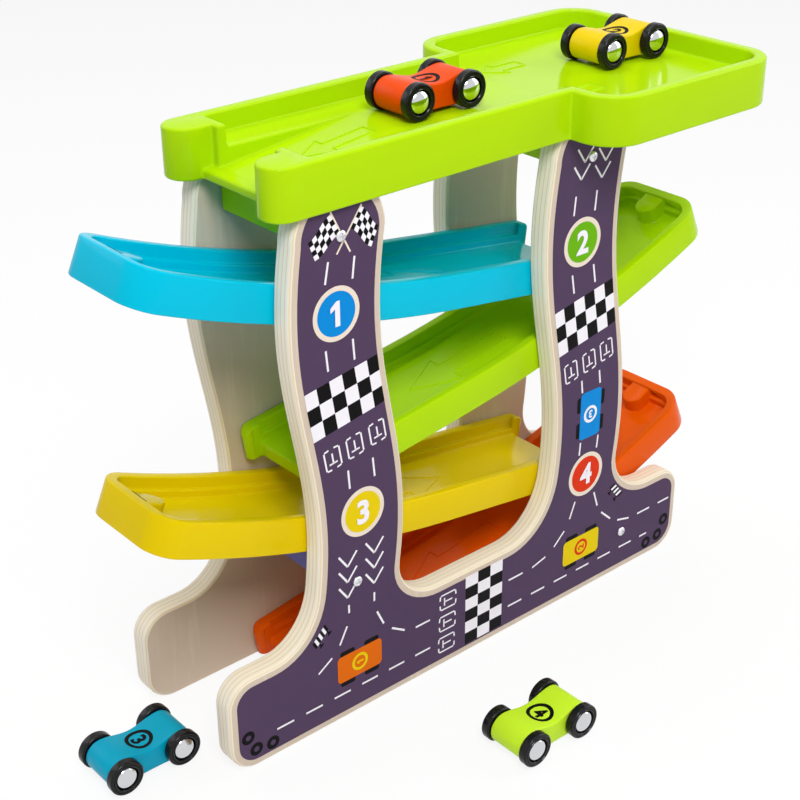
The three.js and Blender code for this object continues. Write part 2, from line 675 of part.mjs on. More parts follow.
// Wheel with its inboard face at y = 0, the tyre round and the hub side recessed.
function wheelGeometry() {
  const bore = AXLE_RADIUS + RUN;
  const shoulder = 0.3;
  return lathe([
    [bore, shoulder],
    [0.8 * WHEEL_RADIUS, 0],
    [0.96 * WHEEL_RADIUS, 0.2 * WHEEL_WIDTH],
    [WHEEL_RADIUS, 0.5 * WHEEL_WIDTH],
    [0.96 * WHEEL_RADIUS, 0.8 * WHEEL_WIDTH],
    [0.8 * WHEEL_RADIUS, WHEEL_WIDTH],
    [WHEEL_HUB_RADIUS + FIT, 0.8 * WHEEL_WIDTH],
    [WHEEL_HUB_RADIUS + FIT, shoulder + WHEEL_WEB],
    [bore, shoulder + WHEEL_WEB],
    [bore, shoulder],
  ], 16);
}

const HUB_SEAT = AXLE_HALF + 0.3 + WHEEL_WEB + SEAT;
const HUB_RING = 0.9;
const SOCKET_DEPTH = 1.8;

function domeProfile(sign) {
  const base = sign * (HUB_SEAT + HUB_RING);
  const rise = sign * HUB_DOME_HEIGHT;
  return [
    [WHEEL_HUB_RADIUS, sign * HUB_SEAT],
    [WHEEL_HUB_RADIUS, base],
    [0.8 * WHEEL_HUB_RADIUS, base + 0.6 * rise],
    [0.43 * WHEEL_HUB_RADIUS, base + 0.9 * rise],
    [0, base + rise],
  ];
}

// Axle pin with a domed head on the near side.
function axleGeometry() {
  return lathe([
    ...domeProfile(-1).reverse(),
    [AXLE_RADIUS, -HUB_SEAT],
    [AXLE_RADIUS, HUB_SEAT + SOCKET_DEPTH - FIT],
    [0, HUB_SEAT + SOCKET_DEPTH - FIT],
  ], 12);
}

// Domed cap pushed on the far end of the pin.
function capGeometry() {
  const bore = AXLE_RADIUS + RUN;
  return lathe([
    [bore, HUB_SEAT],
    ...domeProfile(1),
    [0, HUB_SEAT + SOCKET_DEPTH],
    [bore, HUB_SEAT + SOCKET_DEPTH],
    [bore, HUB_SEAT],
  ], 12);
}

const carParts = {
  body: carBodyGeometry(),
  wheel: wheelGeometry(),
  axle: axleGeometry(),
  cap: capGeometry(),
};

function axleSet(car, end) {
  const set = new THREE.Group();
  const near = mesh(`${car}_wheel_${end}_near`, carParts.wheel, BLACK, 0.3);
  near.position.y = -AXLE_HALF;
  near.rotation.x = Math.PI;
  const far = mesh(`${car}_wheel_${end}_far`, carParts.wheel, BLACK, 0.3);
  far.position.y = AXLE_HALF;
  set.add(
    mesh(`${car}_axle_${end}`, carParts.axle, STEEL, 0.1, 1),
    mesh(`${car}_hub_cap_${end}`, carParts.cap, STEEL, 0.1, 1),
    near,
    far,
  );
  return set;
}

function car(name, colour, x, y, floor) {
  const group = new THREE.Group();
  group.position.set(x, y, floor + WHEEL_RADIUS);
  group.add(mesh(`${name}_body`, carParts.body, colour, 0.4));
  for (const [end, side] of [['front', -1], ['rear', 1]]) {
    const set = axleSet(name, end);
    set.position.x = side * CAR_WHEELBASE / 2;
    group.add(set);
  }
  return group;
}

// Assembly

const CAR_1 = { x: 4.1, y: 3.9 };
const CAR_2 = { x: 134.5, y: 3.9 };
const CAR_3 = { x: -185.1, y: -3.4 };
const CAR_4 = { x: -27.1, y: -115.5 };

const toy = new THREE.Group();
toy.add(panel('front_panel', -1), panel('back_panel', 1), launchTray());
const body = trackBody();
for (const track of tracks) {
  toy.add(trackMesh(track, body));
}
for (const place of screwPlaces.filter(({ name }) => name.startsWith('brace_'))) {
  toy.add(brace(place.name, place));
}
toy.add(...screws());
toy.add(
  car('car_1', ORANGE, CAR_1.x, CAR_1.y, TRAY_FLOOR + CAR_FLOAT),
  car('car_2', YELLOW, CAR_2.x, CAR_2.y, TRAY_FLOOR + CAR_FLOAT),
  car('car_3', BLUE, CAR_3.x, CAR_3.y, 0),
  car('car_4', LIME, CAR_4.x, CAR_4.y, 0),
);

// The origin is the middle of the footprint, on the floor.
const box = new THREE.Box3().setFromObject(toy);
const centre = box.getCenter(new THREE.Vector3());
toy.position.set(-centre.x, -centre.y, -box.min.z);
toy.updateMatrixWorld(true);

export default toy;
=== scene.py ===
"""Looks of the wooden ramp racer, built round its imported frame."""
import math

import bmesh
import bpy
from mathutils import Matrix, Quaternion, Vector


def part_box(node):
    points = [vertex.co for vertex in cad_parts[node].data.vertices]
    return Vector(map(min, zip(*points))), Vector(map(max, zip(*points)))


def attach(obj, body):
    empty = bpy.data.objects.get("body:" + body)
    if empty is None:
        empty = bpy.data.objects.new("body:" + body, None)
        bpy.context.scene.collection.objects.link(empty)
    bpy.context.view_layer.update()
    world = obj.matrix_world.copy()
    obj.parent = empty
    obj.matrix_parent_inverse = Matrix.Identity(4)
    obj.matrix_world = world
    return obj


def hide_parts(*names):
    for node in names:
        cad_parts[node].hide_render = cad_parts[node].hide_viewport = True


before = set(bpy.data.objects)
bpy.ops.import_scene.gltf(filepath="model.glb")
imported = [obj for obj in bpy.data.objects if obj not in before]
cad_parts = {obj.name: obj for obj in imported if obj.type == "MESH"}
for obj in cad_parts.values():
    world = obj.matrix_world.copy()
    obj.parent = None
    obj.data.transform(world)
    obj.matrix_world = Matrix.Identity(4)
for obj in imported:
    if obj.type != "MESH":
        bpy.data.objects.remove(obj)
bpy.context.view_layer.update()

bl_info = {
    "name": "Ramp racer",
    "version": (1, 0, 0),
    "blender": (4, 5, 0),
    "location": "3D View > Sidebar > Ramp racer",
    "description": "Builds a wooden ramp racer with its tracks, cars and studio",
    "category": "Object",
}

MM = 0.001
FRONT_LOW, FRONT_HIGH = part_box("front_panel")
BACK_LOW, BACK_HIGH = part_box("back_panel")
TRAY_LOW, TRAY_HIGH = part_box("launch_tray")
MIDDLE = Vector(((FRONT_LOW.x + FRONT_HIGH.x) / 2, (FRONT_LOW.y + BACK_HIGH.y) / 2, 0))
SPACE = BACK_LOW.y - FRONT_HIGH.y
TRACKS = {
    "track_1_blue": (-1, "blue_plastic"),
    "track_2_lime": (1, "lime_plastic"),
    "track_3_yellow": (-1, "yellow_plastic"),
    "track_4_orange": (1, "orange_plastic"),
}
CARS = {"car_1": "orange", "car_2": "yellow", "car_3": "blue", "car_4": "lime"}


def length(name, description, default):
    return bpy.props.FloatProperty(name=name, description=description, default=default * MM,
                                   subtype="DISTANCE", unit="LENGTH", precision=4)


def angle(name, description, default):
    return bpy.props.FloatProperty(name=name, description=description, subtype="ANGLE",
                                   unit="ROTATION", default=math.radians(default))


def colour(name, description, default):
    return bpy.props.FloatVectorProperty(name=name, description=description, subtype="COLOR",
                                         size=3, min=0, max=1, default=default)


def srgb(red, green, blue):
    """The linear colour of an sRGB colour given from 0 to 255."""
    linear = []
    for part in (red, green, blue):
        share = part / 255
        linear.append(share / 12.92 if share <= 0.04045 else ((share + 0.055) / 1.055) ** 2.4)
    return tuple(linear)


class RampPanelSizes(bpy.types.PropertyGroup):
    """Sizes of the two side panels and their print."""
    base_height: length("Base height", "Height of the foot and of the window's lower edge", 51.5)
    foot_top_radius: length("Foot top radius", "Upper outer corner of a foot", 14)
    foot_bottom_radius: length("Foot bottom radius", "Lower outer corner of a foot", 15)
    leg_width: length("Leg width", "Width of a leg", 51.5)
    leg_spacing: length("Leg spacing", "Between the middles of the legs", 156)
    leg_offset: length("Leg offset", "Middle of the legs from the middle of the base", -4)
    leg_top_radius: length("Leg top radius", "Corners at the top of a leg", 24)
    sway: length("Sway", "How far a leg swings to either side", 6.3)
    sway_length: length("Sway length", "Height of one swing", 109)
    sway_height: length("Sway height", "Height where a leg is furthest to the right", 108)
    foot_fillet: length("Foot fillet", "Between leg and foot", 28)
    window_left: length("Window fillet, left", "Lower left corner of the window", 25)
    window_right: length("Window fillet, right", "Lower right corner of the window", 32)
    edge_round: length("Edge round", "Rounding of the board's edges", 2)
    border: length("Border", "Bare wood round the print", 4.3)
    print_lift: length("Print lift", "Thickness of one layer of print", 0.06)


class RampTraySizes(bpy.types.PropertyGroup):
    """Sizes of the launch tray."""
    lane_width: length("Lane width", "Outer width of the lane", 90)
    pad_start: length("Pad start", "Left edge of the wide pad from the middle of the base", 51.6)
    pad_radius: length("Pad radius", "Outer corners of the pad", 20)
    height: length("Height", "Height of the outer wall", 24)
    rim: length("Rim", "Width of the rim", 6.5)
    depth: length("Depth", "From rim to floor", 10)
    floor: length("Floor", "Thickness of the floor", 3)
    skirt: length("Skirt", "Thickness of the wall below the floor", 2.7)
    post_width: length("Post width", "Width of a round wall end", 20)
    post_length: length("Post length", "Length of a round wall end", 23)
    lip: length("Lip", "From the tips of the posts to the lip", 12)
    shoulder: length("Shoulder", "From the tips of the posts to the narrow ramp", 18)
    ramp_width: length("Ramp width", "Width of the sunk ramp", 41)
    ramp_drop: length("Ramp drop", "How far the ramp falls", 9.5)
    ramp_top: length("Ramp top", "Where the ramp leaves the floor", -26.4)
    block_length: length("Block length", "Length of the blocks that the screws grip", 23.2)
    edge_round: length("Edge round", "Rounding of moulded edges", 1.3)


class RampTrackSizes(bpy.types.PropertyGroup):
    """Sizes of one track."""
    height: length("Height", "Height of the side wall", 18)
    run: length("Run", "Length of the track along the panels", 276)
    straight: length("Straight", "Length of the straight part", 98)
    low_slope: angle("Low slope", "Slope of the straight part", 8)
    high_slope: angle("High slope", "Slope at the closed end", 24.8)
    wall: length("Wall", "Width of the rim", 5.5)
    ledge: length("Ledge", "Width of the step inside the wall", 2)
    ledge_depth: length("Ledge depth", "From rim to step", 6)
    floor_depth: length("Floor depth", "From rim to floor", 10)
    floor: length("Floor", "Thickness of the floor", 2.5)
    skirt: length("Skirt", "Wall below the floor", 2.6)
    corner: length("Corner", "Plan radius at the closed end", 14)
    tip: length("Tip", "Rounding of the wall at the open end", 6)
    tip_length: length("Tip length", "Wall ends in front of the lip of the floor", 7)
    bump: length("Bump", "Radius of the kick bump", 6.5)
    bump_reach: length("Bump reach", "From the end wall to the middle of the bump's round end", 7)
    bump_below: length("Bump below rim", "From rim to the top of the bump", 0.8)
    edge_round: length("Edge round", "Rounding of moulded edges", 0.9)


class RampCarSizes(bpy.types.PropertyGroup):
    """Sizes of one car."""
    wheelbase: length("Wheelbase", "Between the axles", 32)
    end_radius: length("End radius", "Round ends of the body", 7.8)
    dip: length("Dip", "How far the top dips", 2.8)
    arch: length("Arch", "How far the underside rises between the axles", 0.8)
    width: length("Width", "Width of the body", 20)
    edge_round: length("Edge round", "Rounding of the body's edges", 0.9)
    badge: length("Badge", "Radius of the number's ring", 6.8)
    badge_lift: length("Badge lift", "Thickness of the number's paint", 0.1)


class RampColours(bpy.types.PropertyGroup):
    """Colours of the pieces, as linear colours."""
    lime: colour("Lime", "Tray and second track", srgb(174, 216, 6))
    blue: colour("Blue", "First track", srgb(0, 188, 219))
    yellow: colour("Yellow", "Third track", srgb(225, 195, 2))
    orange: colour("Orange", "Fourth track", srgb(228, 88, 4))
    veneer: colour("Veneer", "Face of the board", srgb(233, 218, 201))
    ply_light: colour("Light ply", "Long-grain layers at the board's edge", srgb(240, 231, 215))
    ply_dark: colour("Dark ply", "Cross-grain layers at the board's edge", srgb(222, 203, 164))
    road: colour("Road", "Printed road", srgb(80, 61, 89))
    brace: colour("Brace", "Round braces", srgb(104, 102, 170))
    car_orange: colour("Orange car", "Paint of the first car", srgb(228, 72, 0))
    car_yellow: colour("Yellow car", "Paint of the second car", srgb(228, 196, 0))
    car_blue: colour("Blue car", "Paint of the third car", srgb(0, 158, 190))
    car_lime: colour("Lime car", "Paint of the fourth car", srgb(198, 238, 46))
    print_white: colour("Print white", "White of the print", srgb(240, 236, 242))
    print_black: colour("Print black", "Black of the print", srgb(10, 8, 10))
    print_blue: colour("Print blue", "Blue of the print", srgb(0, 134, 212))
    print_green: colour("Print green", "Green of the print", srgb(104, 176, 4))
    print_yellow: colour("Print yellow", "Yellow of the print", srgb(228, 200, 0))
    print_red: colour("Print red", "Red of the print", srgb(218, 50, 10))
    print_orange: colour("Print orange", "Orange of the print", srgb(222, 104, 4))


class RampStageSizes(bpy.types.PropertyGroup):
    """Camera and studio."""
    camera_from_panel: bpy.props.FloatVectorProperty(
        name="Camera place", description="From the middle of the front panel's lower edge",
        subtype="TRANSLATION", unit="LENGTH", default=(-0.46777, -0.48694, 0.50045))
    azimuth: angle("Azimuth", "Turn of the view from straight along +Y", 40.47)
    elevation: angle("Elevation", "Tilt of the view below the horizon", 27.57)
    roll: angle("Roll", "Roll of the camera", -0.48)
    lens: bpy.props.FloatProperty(
        name="Lens", description="Focal length in millimetres on a 36 mm sensor", default=69.93)


def settings(part):
    return getattr(bpy.context.scene, "ramp_" + part)


# Material groups and materials


def new_group(name, inputs, outputs):
    tree = bpy.data.node_groups.new(name, "ShaderNodeTree")
    for label, kind, default in inputs:
        socket = tree.interface.new_socket(label, in_out="INPUT", socket_type=kind)
        socket.default_value = default
    for label, kind in outputs:
        tree.interface.new_socket(label, in_out="OUTPUT", socket_type=kind)
    return tree, tree.nodes.new("NodeGroupInput"), tree.nodes.new("NodeGroupOutput")


def node(tree, kind, **values):
    made = tree.nodes.new(kind)
    for key, value in values.items():
        setattr(made, key, value)
    return made


def feed(tree, made, values):
    """Sets a node's sockets to constants, or links other sockets to them."""
    for key, value in values.items():
        if isinstance(value, (int, float, tuple)):
            made.inputs[key].default_value = value
        else:
            tree.links.new(value, made.inputs[key])


def math_node(tree, operation, first, second):
    made = node(tree, "ShaderNodeMath", operation=operation)
    feed(tree, made, {0: first, 1: second})
    return made.outputs[0]


def noise(tree, vector, scale, detail, roughness=0.55):
    made = node(tree, "ShaderNodeTexNoise")
    feed(tree, made, {"Vector": vector, "Scale": scale, "Detail": detail, "Roughness": roughness})
    return made.outputs["Fac"]


def mix_colour(tree, factor, first, second, blend="MIX"):
    made = node(tree, "ShaderNodeMix", data_type="RGBA", blend_type=blend)
    feed(tree, made, {"Factor": factor, 6: first, 7: second})
    return made.outputs[2]


def map_range(tree, value, low, high):
    made = node(tree, "ShaderNodeMapRange")
    feed(tree, made, {"Value": value, "To Min": low, "To Max": high})
    return made.outputs["Result"]


def moulded_group():
    """Faint flow marks and dust of a moulded or painted surface."""
    name = "moulded_surface"
    if name in bpy.data.node_groups:
        return bpy.data.node_groups[name]
    tree, start, end = new_group(
        name,
        [("Colour", "NodeSocketColor", (0.5, 0.5, 0.5, 1)), ("Scale", "NodeSocketFloat", 60.0),
         ("Shade", "NodeSocketFloat", 0.12), ("Gloss Low", "NodeSocketFloat", 0.18),
         ("Gloss High", "NodeSocketFloat", 0.3)],
        [("Colour", "NodeSocketColor"), ("Roughness", "NodeSocketFloat"), ("Height", "NodeSocketFloat")])
    place = node(tree, "ShaderNodeTexCoord").outputs["Object"]
    broad = noise(tree, place, start.outputs["Scale"], 2.0)
    fine = noise(tree, place, math_node(tree, "MULTIPLY", start.outputs["Scale"], 22.0), 4.0)
    darker = mix_colour(tree, 1.0, start.outputs["Colour"], (0.72, 0.72, 0.74, 1), "MULTIPLY")
    amount = math_node(tree, "MULTIPLY", broad, start.outputs["Shade"])
    tree.links.new(mix_colour(tree, amount, start.outputs["Colour"], darker), end.inputs["Colour"])
    both = math_node(tree, "ADD", math_node(tree, "MULTIPLY", broad, 0.6),
                     math_node(tree, "MULTIPLY", fine, 0.4))
    tree.links.new(map_range(tree, both, start.outputs["Gloss Low"], start.outputs["Gloss High"]),
                   end.inputs["Roughness"])
    tree.links.new(fine, end.inputs["Height"])
    return tree


def board_group():
    """Veneer on the faces of a plywood board and its layers along the edges."""
    name = "plywood_board"
    if name in bpy.data.node_groups:
        return bpy.data.node_groups[name]
    tree, start, end = new_group(
        name,
        [("Veneer", "NodeSocketColor", (0.7, 0.6, 0.5, 1)),
         ("Light Ply", "NodeSocketColor", (0.8, 0.7, 0.6, 1)),
         ("Dark Ply", "NodeSocketColor", (0.6, 0.4, 0.2, 1)),
         ("Layer", "NodeSocketFloat", 0.0026), ("Start", "NodeSocketFloat", 0.0)],
        [("Colour", "NodeSocketColor"), ("Roughness", "NodeSocketFloat"), ("Height", "NodeSocketFloat")])
    coordinates = node(tree, "ShaderNodeTexCoord")
    stretch = node(tree, "ShaderNodeMapping")
    stretch.inputs["Scale"].default_value = (1.0, 1.0, 0.09)
    tree.links.new(coordinates.outputs["Object"], stretch.inputs["Vector"])
    grain = noise(tree, stretch.outputs["Vector"], 240.0, 5.0, 0.6)
    broad = noise(tree, stretch.outputs["Vector"], 45.0, 2.0)
    grey = mix_colour(tree, 1.0, start.outputs["Veneer"], (0.74, 0.70, 0.66, 1), "MULTIPLY")
    figure = map_range(tree, math_node(tree, "ADD", grain, broad), -0.35, 1.15)
    face = mix_colour(tree, figure, start.outputs["Veneer"], grey)
    axes = node(tree, "ShaderNodeSeparateXYZ")
    tree.links.new(coordinates.outputs["Object"], axes.inputs[0])
    depth = math_node(tree, "SUBTRACT", axes.outputs["Y"], start.outputs["Start"])
    phase = math_node(tree, "DIVIDE", depth, start.outputs["Layer"])
    wave = math_node(tree, "SINE", math_node(tree, "MULTIPLY", phase, 2 * math.pi), 0.0)
    peaks = math_node(tree, "SUBTRACT", math_node(tree, "MULTIPLY", wave, 1.7), 0.95)
    soft = math_node(tree, "ADD", peaks, math_node(tree, "MULTIPLY", grain, 0.35))
    layers = map_range(tree, soft, 0.0, 0.9)
    edge = mix_colour(tree, layers, start.outputs["Light Ply"], start.outputs["Dark Ply"])
    facing = node(tree, "ShaderNodeSeparateXYZ")
    tree.links.new(coordinates.outputs["Normal"], facing.inputs[0])
    flat = math_node(tree, "GREATER_THAN", math_node(tree, "ABSOLUTE", facing.outputs["Y"], 0.0), 0.93)
    tree.links.new(mix_colour(tree, flat, edge, face), end.inputs["Colour"])
    tree.links.new(map_range(tree, grain, 0.42, 0.62), end.inputs["Roughness"])
    tree.links.new(grain, end.inputs["Height"])
    return tree


def material_with(name, group, inputs, bump, **shader_values):
    """A material whose colour, roughness and bump come from a group."""
    if name in bpy.data.materials:
        return bpy.data.materials[name]
    made = bpy.data.materials.new(name)
    made.use_nodes = True
    tree = made.node_tree
    shader = tree.nodes["Principled BSDF"]
    for label, value in shader_values.items():
        shader.inputs[label].default_value = value
    surface = node(tree, "ShaderNodeGroup", node_tree=group)
    for label, value in inputs.items():
        surface.inputs[label].default_value = value
    relief = node(tree, "ShaderNodeBump")
    relief.inputs["Strength"].default_value = bump
    relief.inputs["Distance"].default_value = 0.2 * MM
    tree.links.new(surface.outputs["Colour"], shader.inputs["Base Color"])
    tree.links.new(surface.outputs["Roughness"], shader.inputs["Roughness"])
    tree.links.new(surface.outputs["Height"], relief.inputs["Height"])
    tree.links.new(relief.outputs["Normal"], shader.inputs["Normal"])
    return made


def solid_colour(shade):
    return (shade[0], shade[1], shade[2], 1.0)


def moulded(name, shade, finish, **shader_values):
    """A material with a finish's roughness range, size of marks, bump and shade of marks."""
    low, high, scale, bump, dark = finish
    inputs = {"Colour": solid_colour(shade), "Scale": scale, "Shade": dark,
              "Gloss Low": low, "Gloss High": high}
    return material_with(name, moulded_group(), inputs, bump, **shader_values)


def coloured(kind, name, finish, specular):
    shade = getattr(settings("colours"), name)
    return moulded(f"{kind}_{name}", shade, finish, **{"Specular IOR Level": specular})


def plastic(name):
    return coloured("moulded", name, (0.1, 0.18, 40.0, 0.03, 0.15), 0.07)


def paint(name):
    return coloured("paint", name, (0.28, 0.42, 90.0, 0.06, 0.15), 0.12)


def ink(name):
    return coloured("ink", name, (0.42, 0.56, 120.0, 0.04, 0.2), 0.07)


def chrome():
    return moulded("polished_chrome", (0.64, 0.65, 0.67), (0.04, 0.1, 200.0, 0.01, 0.1), Metallic=1.0)


def steel():
    return moulded("zinc_steel", (0.8, 0.8, 0.82), (0.22, 0.38, 300.0, 0.08, 0.3), Metallic=1.0)


def black_gloss():
    return moulded("polished_black", (0.008, 0.008, 0.009), (0.1, 0.2, 120.0, 0.02, 0.3),
                   **{"Specular IOR Level": 0.2})


def board(name, start):
    colours = settings("colours")
    layers = 4.5
    relief = 0.12
    inputs = {"Veneer": solid_colour(colours.veneer), "Light Ply": solid_colour(colours.ply_light),
              "Dark Ply": solid_colour(colours.ply_dark), "Layer": (FRONT_HIGH.y - FRONT_LOW.y) / layers,
              "Start": start}
    return material_with(name, board_group(), inputs, relief)


# Mesh helpers


def arc(cx, cy, radius, start, end, steps=10):
    points = []
    for step in range(steps + 1):
        turn = start + (end - start) * step / steps
        points.append((cx + radius * math.cos(turn), cy + radius * math.sin(turn)))
    return points


def without_repeats(points):
    kept = []
    for point in points:
        if not kept or math.dist(point, kept[-1]) > 1e-6:
            kept.append(point)
    if math.dist(kept[0], kept[-1]) < 1e-6:
        kept.pop()
    return kept


def prism(outline, place, low, high):
    """A closed prism over an outline; place(a, b, t) gives a point at level t."""
    made = bmesh.new()
    outline = without_repeats(outline)
    bottom = [made.verts.new(place(a, b, low)) for a, b in outline]
    top = [made.verts.new(place(a, b, high)) for a, b in outline]
    made.faces.new(bottom)
    made.faces.new(top)
    for index in range(len(outline)):
        after = (index + 1) % len(outline)
        made.faces.new((bottom[index], bottom[after], top[after], top[index]))
    bmesh.ops.recalc_face_normals(made, faces=made.faces)
    return made


def side_view(a, b, t):
    return MIDDLE + Vector((a, t, b))


def plan_view(a, b, t):
    return MIDDLE + Vector((a, b, t))


def piece(name, made):
    mesh = bpy.data.meshes.new(name)
    made.to_mesh(mesh)
    made.free()
    body = bpy.data.objects.new(name, mesh)
    bpy.context.scene.collection.objects.link(body)
    return body


def combine(body, tool, operation):
    """Joins, cuts or intersects body with tool, and removes tool."""
    change = body.modifiers.new("combine", "BOOLEAN")
    change.operation = operation
    change.solver = "EXACT"
    change.object = tool
    keep_result(body)
    bpy.data.objects.remove(tool)
    return body


def cut(body, tool):
    return combine(body, tool, "DIFFERENCE")


def join(body, tool):
    return combine(body, tool, "UNION")


def keep_result(body):
    """Replaces the mesh by what its modifiers make of it."""
    shown = bpy.context.evaluated_depsgraph_get()
    mesh = bpy.data.meshes.new_from_object(body.evaluated_get(shown))
    body.modifiers.clear()
    body.data = mesh


def round_edges(body, width, segments=3, limit=40.0):
    bevel = body.modifiers.new("round", "BEVEL")
    bevel.width = width
    bevel.segments = segments
    bevel.limit_method = "ANGLE"
    bevel.angle_limit = math.radians(limit)
    bevel.use_clamp_overlap = False
    bevel.miter_outer = "MITER_ARC"
    keep_result(body)


def smooth(body, limit=32.0):
    for face in body.data.polygons:
        face.use_smooth = True
    body.data.set_sharp_from_angle(angle=math.radians(limit))


def finish_piece(body, material, carrier, slot, *nodes):
    body.data.materials.clear()
    body.data.materials.append(material)
    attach(body, carrier)
    if nodes:
        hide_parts(*nodes)
    return body


def raised_outline(outline, place):
    """A low moulded ridge along a closed outline; place gives the point at a height above the floor."""
    ridge, proud, sunk = 0.9 * MM, 0.5 * MM, -0.1 * MM
    made = bmesh.new()
    for first, second in zip(outline, outline[1:] + outline[:1]):
        run = Vector(second) - Vector(first)
        side = Vector((-run.y, run.x)).normalized() * ridge / 2
        steps = max(2, int(run.length / (6 * MM)))
        strips = []
        for step in range(steps + 1):
            spot = Vector(first) + run * step / steps
            row = []
            for offset, rise in ((-1.0, sunk), (-0.5, proud), (0.5, proud), (1.0, sunk)):
                row.append(made.verts.new(place(spot.x + side.x * offset, spot.y + side.y * offset, rise)))
            strips.append(row)
        for before, after in zip(strips, strips[1:]):
            for index in range(3):
                made.faces.new((before[index], before[index + 1], after[index + 1], after[index]))
            made.faces.new((before[3], before[0], after[0], after[3]))
        made.faces.new(strips[0])
        made.faces.new(list(reversed(strips[-1])))
    bmesh.ops.recalc_face_normals(made, faces=made.faces)
    return made


def arrow_outline(tail, head, half):
    """Outline of an arrow along the first axis."""
    neck = head + 0.4 * (tail - head)
    stem = 0.45 * half
    return [(tail, -stem), (neck, -stem), (neck, -half), (head, 0), (neck, half), (neck, stem), (tail, stem)]


def lathe(name, profile, centre, sides=48, axis=(0, 1, 0)):
    """Turns a profile of (radius, along) round an axis through centre."""
    made = bmesh.new()
    turn = Vector((0, 0, 1)).rotation_difference(Vector(axis)).to_matrix().to_4x4()
    rings = []
    for radius, along in profile:
        if radius < 1e-9:
            rings.append([made.verts.new((0, 0, along))])
            continue
        ring = []
        for side in range(sides):
            spin = 2 * math.pi * side / sides
            ring.append(made.verts.new((radius * math.cos(spin), radius * math.sin(spin), along)))
        rings.append(ring)
    closed = profile[0] == profile[-1]
    if closed:
        for vert in rings[-1]:
            made.verts.remove(vert)
        rings[-1] = rings[0]
    for first, second in zip(rings, rings[1:]):
        for side in range(sides):
            after = (side + 1) % sides
            corners = [first[side % len(first)], first[after % len(first)],
                       second[after % len(second)], second[side % len(second)]]
            made.faces.new(list(dict.fromkeys(corners)))
    bmesh.ops.recalc_face_normals(made, faces=made.faces)
    bmesh.ops.transform(made, matrix=Matrix.Translation(centre) @ turn, verts=made.verts)
    return piece(name, made)


# Side panels


def leg_sway(z):
    sizes = settings("panel")
    return sizes.sway * math.cos(math.pi * (z - sizes.sway_height) / sizes.sway_length)


def leg_middle(side):
    sizes = settings("panel")
    return sizes.leg_offset + side * sizes.leg_spacing / 2


def bezier(p0, p1, p2, p3, steps=12):
    points = []
    for step in range(steps + 1):
        t = step / steps
        s = 1 - t
        weights = (s ** 3, 3 * s * s * t, 3 * s * t * t, t ** 3)
        points.append(tuple(sum(w * p[k] for w, p in zip(weights, (p0, p1, p2, p3))) for k in (0, 1)))
    return points


def leg_edge(leg, side, fillet, inset, top):
    """One edge of a leg from the base up, with its fillet; inset draws it into the board."""
    sizes = settings("panel")
    base_z = sizes.base_height - inset
    fillet = fillet + inset
    half = sizes.leg_width / 2 - inset
    start = base_z + fillet

    def edge(z):
        return (leg_middle(leg) + leg_sway(z) + side * half, z)

    foot = edge(start)
    slope = (edge(start + MM)[0] - foot[0]) / MM
    pull = 0.55 * fillet
    corner = (foot[0] + side * fillet, base_z)
    points = bezier(corner, (corner[0] - side * pull, base_z), (foot[0] - slope * pull, start - pull), foot)
    steps = 36
    radius = sizes.leg_top_radius - inset
    end = top - radius
    for step in range(1, steps + 1):
        points.append(edge(start + (end - start) * step / steps))
    turn = 0.0 if side > 0 else math.pi
    points += arc(edge(end)[0] - side * radius, end, radius, turn, math.pi / 2, 14)[1:]
    return points


def panel_outline(inset=0.0):
    sizes = settings("panel")
    half = (FRONT_HIGH.x - FRONT_LOW.x) / 2 - inset
    top = FRONT_HIGH.z - inset
    low = inset
    base = sizes.base_height - inset
    r_low = sizes.foot_bottom_radius - inset
    r_top = sizes.foot_top_radius - inset
    quarter = math.pi / 2
    points = arc(half - r_low, low + r_low, r_low, -quarter, 0)
    points += arc(half - r_top, base - r_top, r_top, 0, quarter)
    points += leg_edge(1, 1, sizes.foot_fillet, inset, top)
    points += reversed(leg_edge(1, -1, sizes.window_right, inset, top))
    points += leg_edge(-1, 1, sizes.window_left, inset, top)
    points += reversed(leg_edge(-1, -1, sizes.foot_fillet, inset, top))
    points += arc(-half + r_top, base - r_top, r_top, quarter, 2 * quarter)
    points += arc(-half + r_low, low + r_low, r_low, 2 * quarter, 3 * quarter)
    return points


class RAMP_OT_panels(bpy.types.Operator):
    """Build the two plywood side panels."""
    bl_idname = "ramp.panels"
    bl_label = "Side panels"

    def execute(self, context):
        outline = panel_outline()
        for name, low, high in (("front_panel", FRONT_LOW, FRONT_HIGH), ("back_panel", BACK_LOW, BACK_HIGH)):
            body = piece(name + "_board", prism(outline, side_view, low.y - MIDDLE.y, high.y - MIDDLE.y))
            round_edges(body, settings("panel").edge_round, 4, 50)
            smooth(body, 30)
            finish_piece(body, board(name + "_plywood", low.y), "stand", "plywood", name)
        return {"FINISHED"}


# Print on the panels, in millimetres from the first roundel's foot point

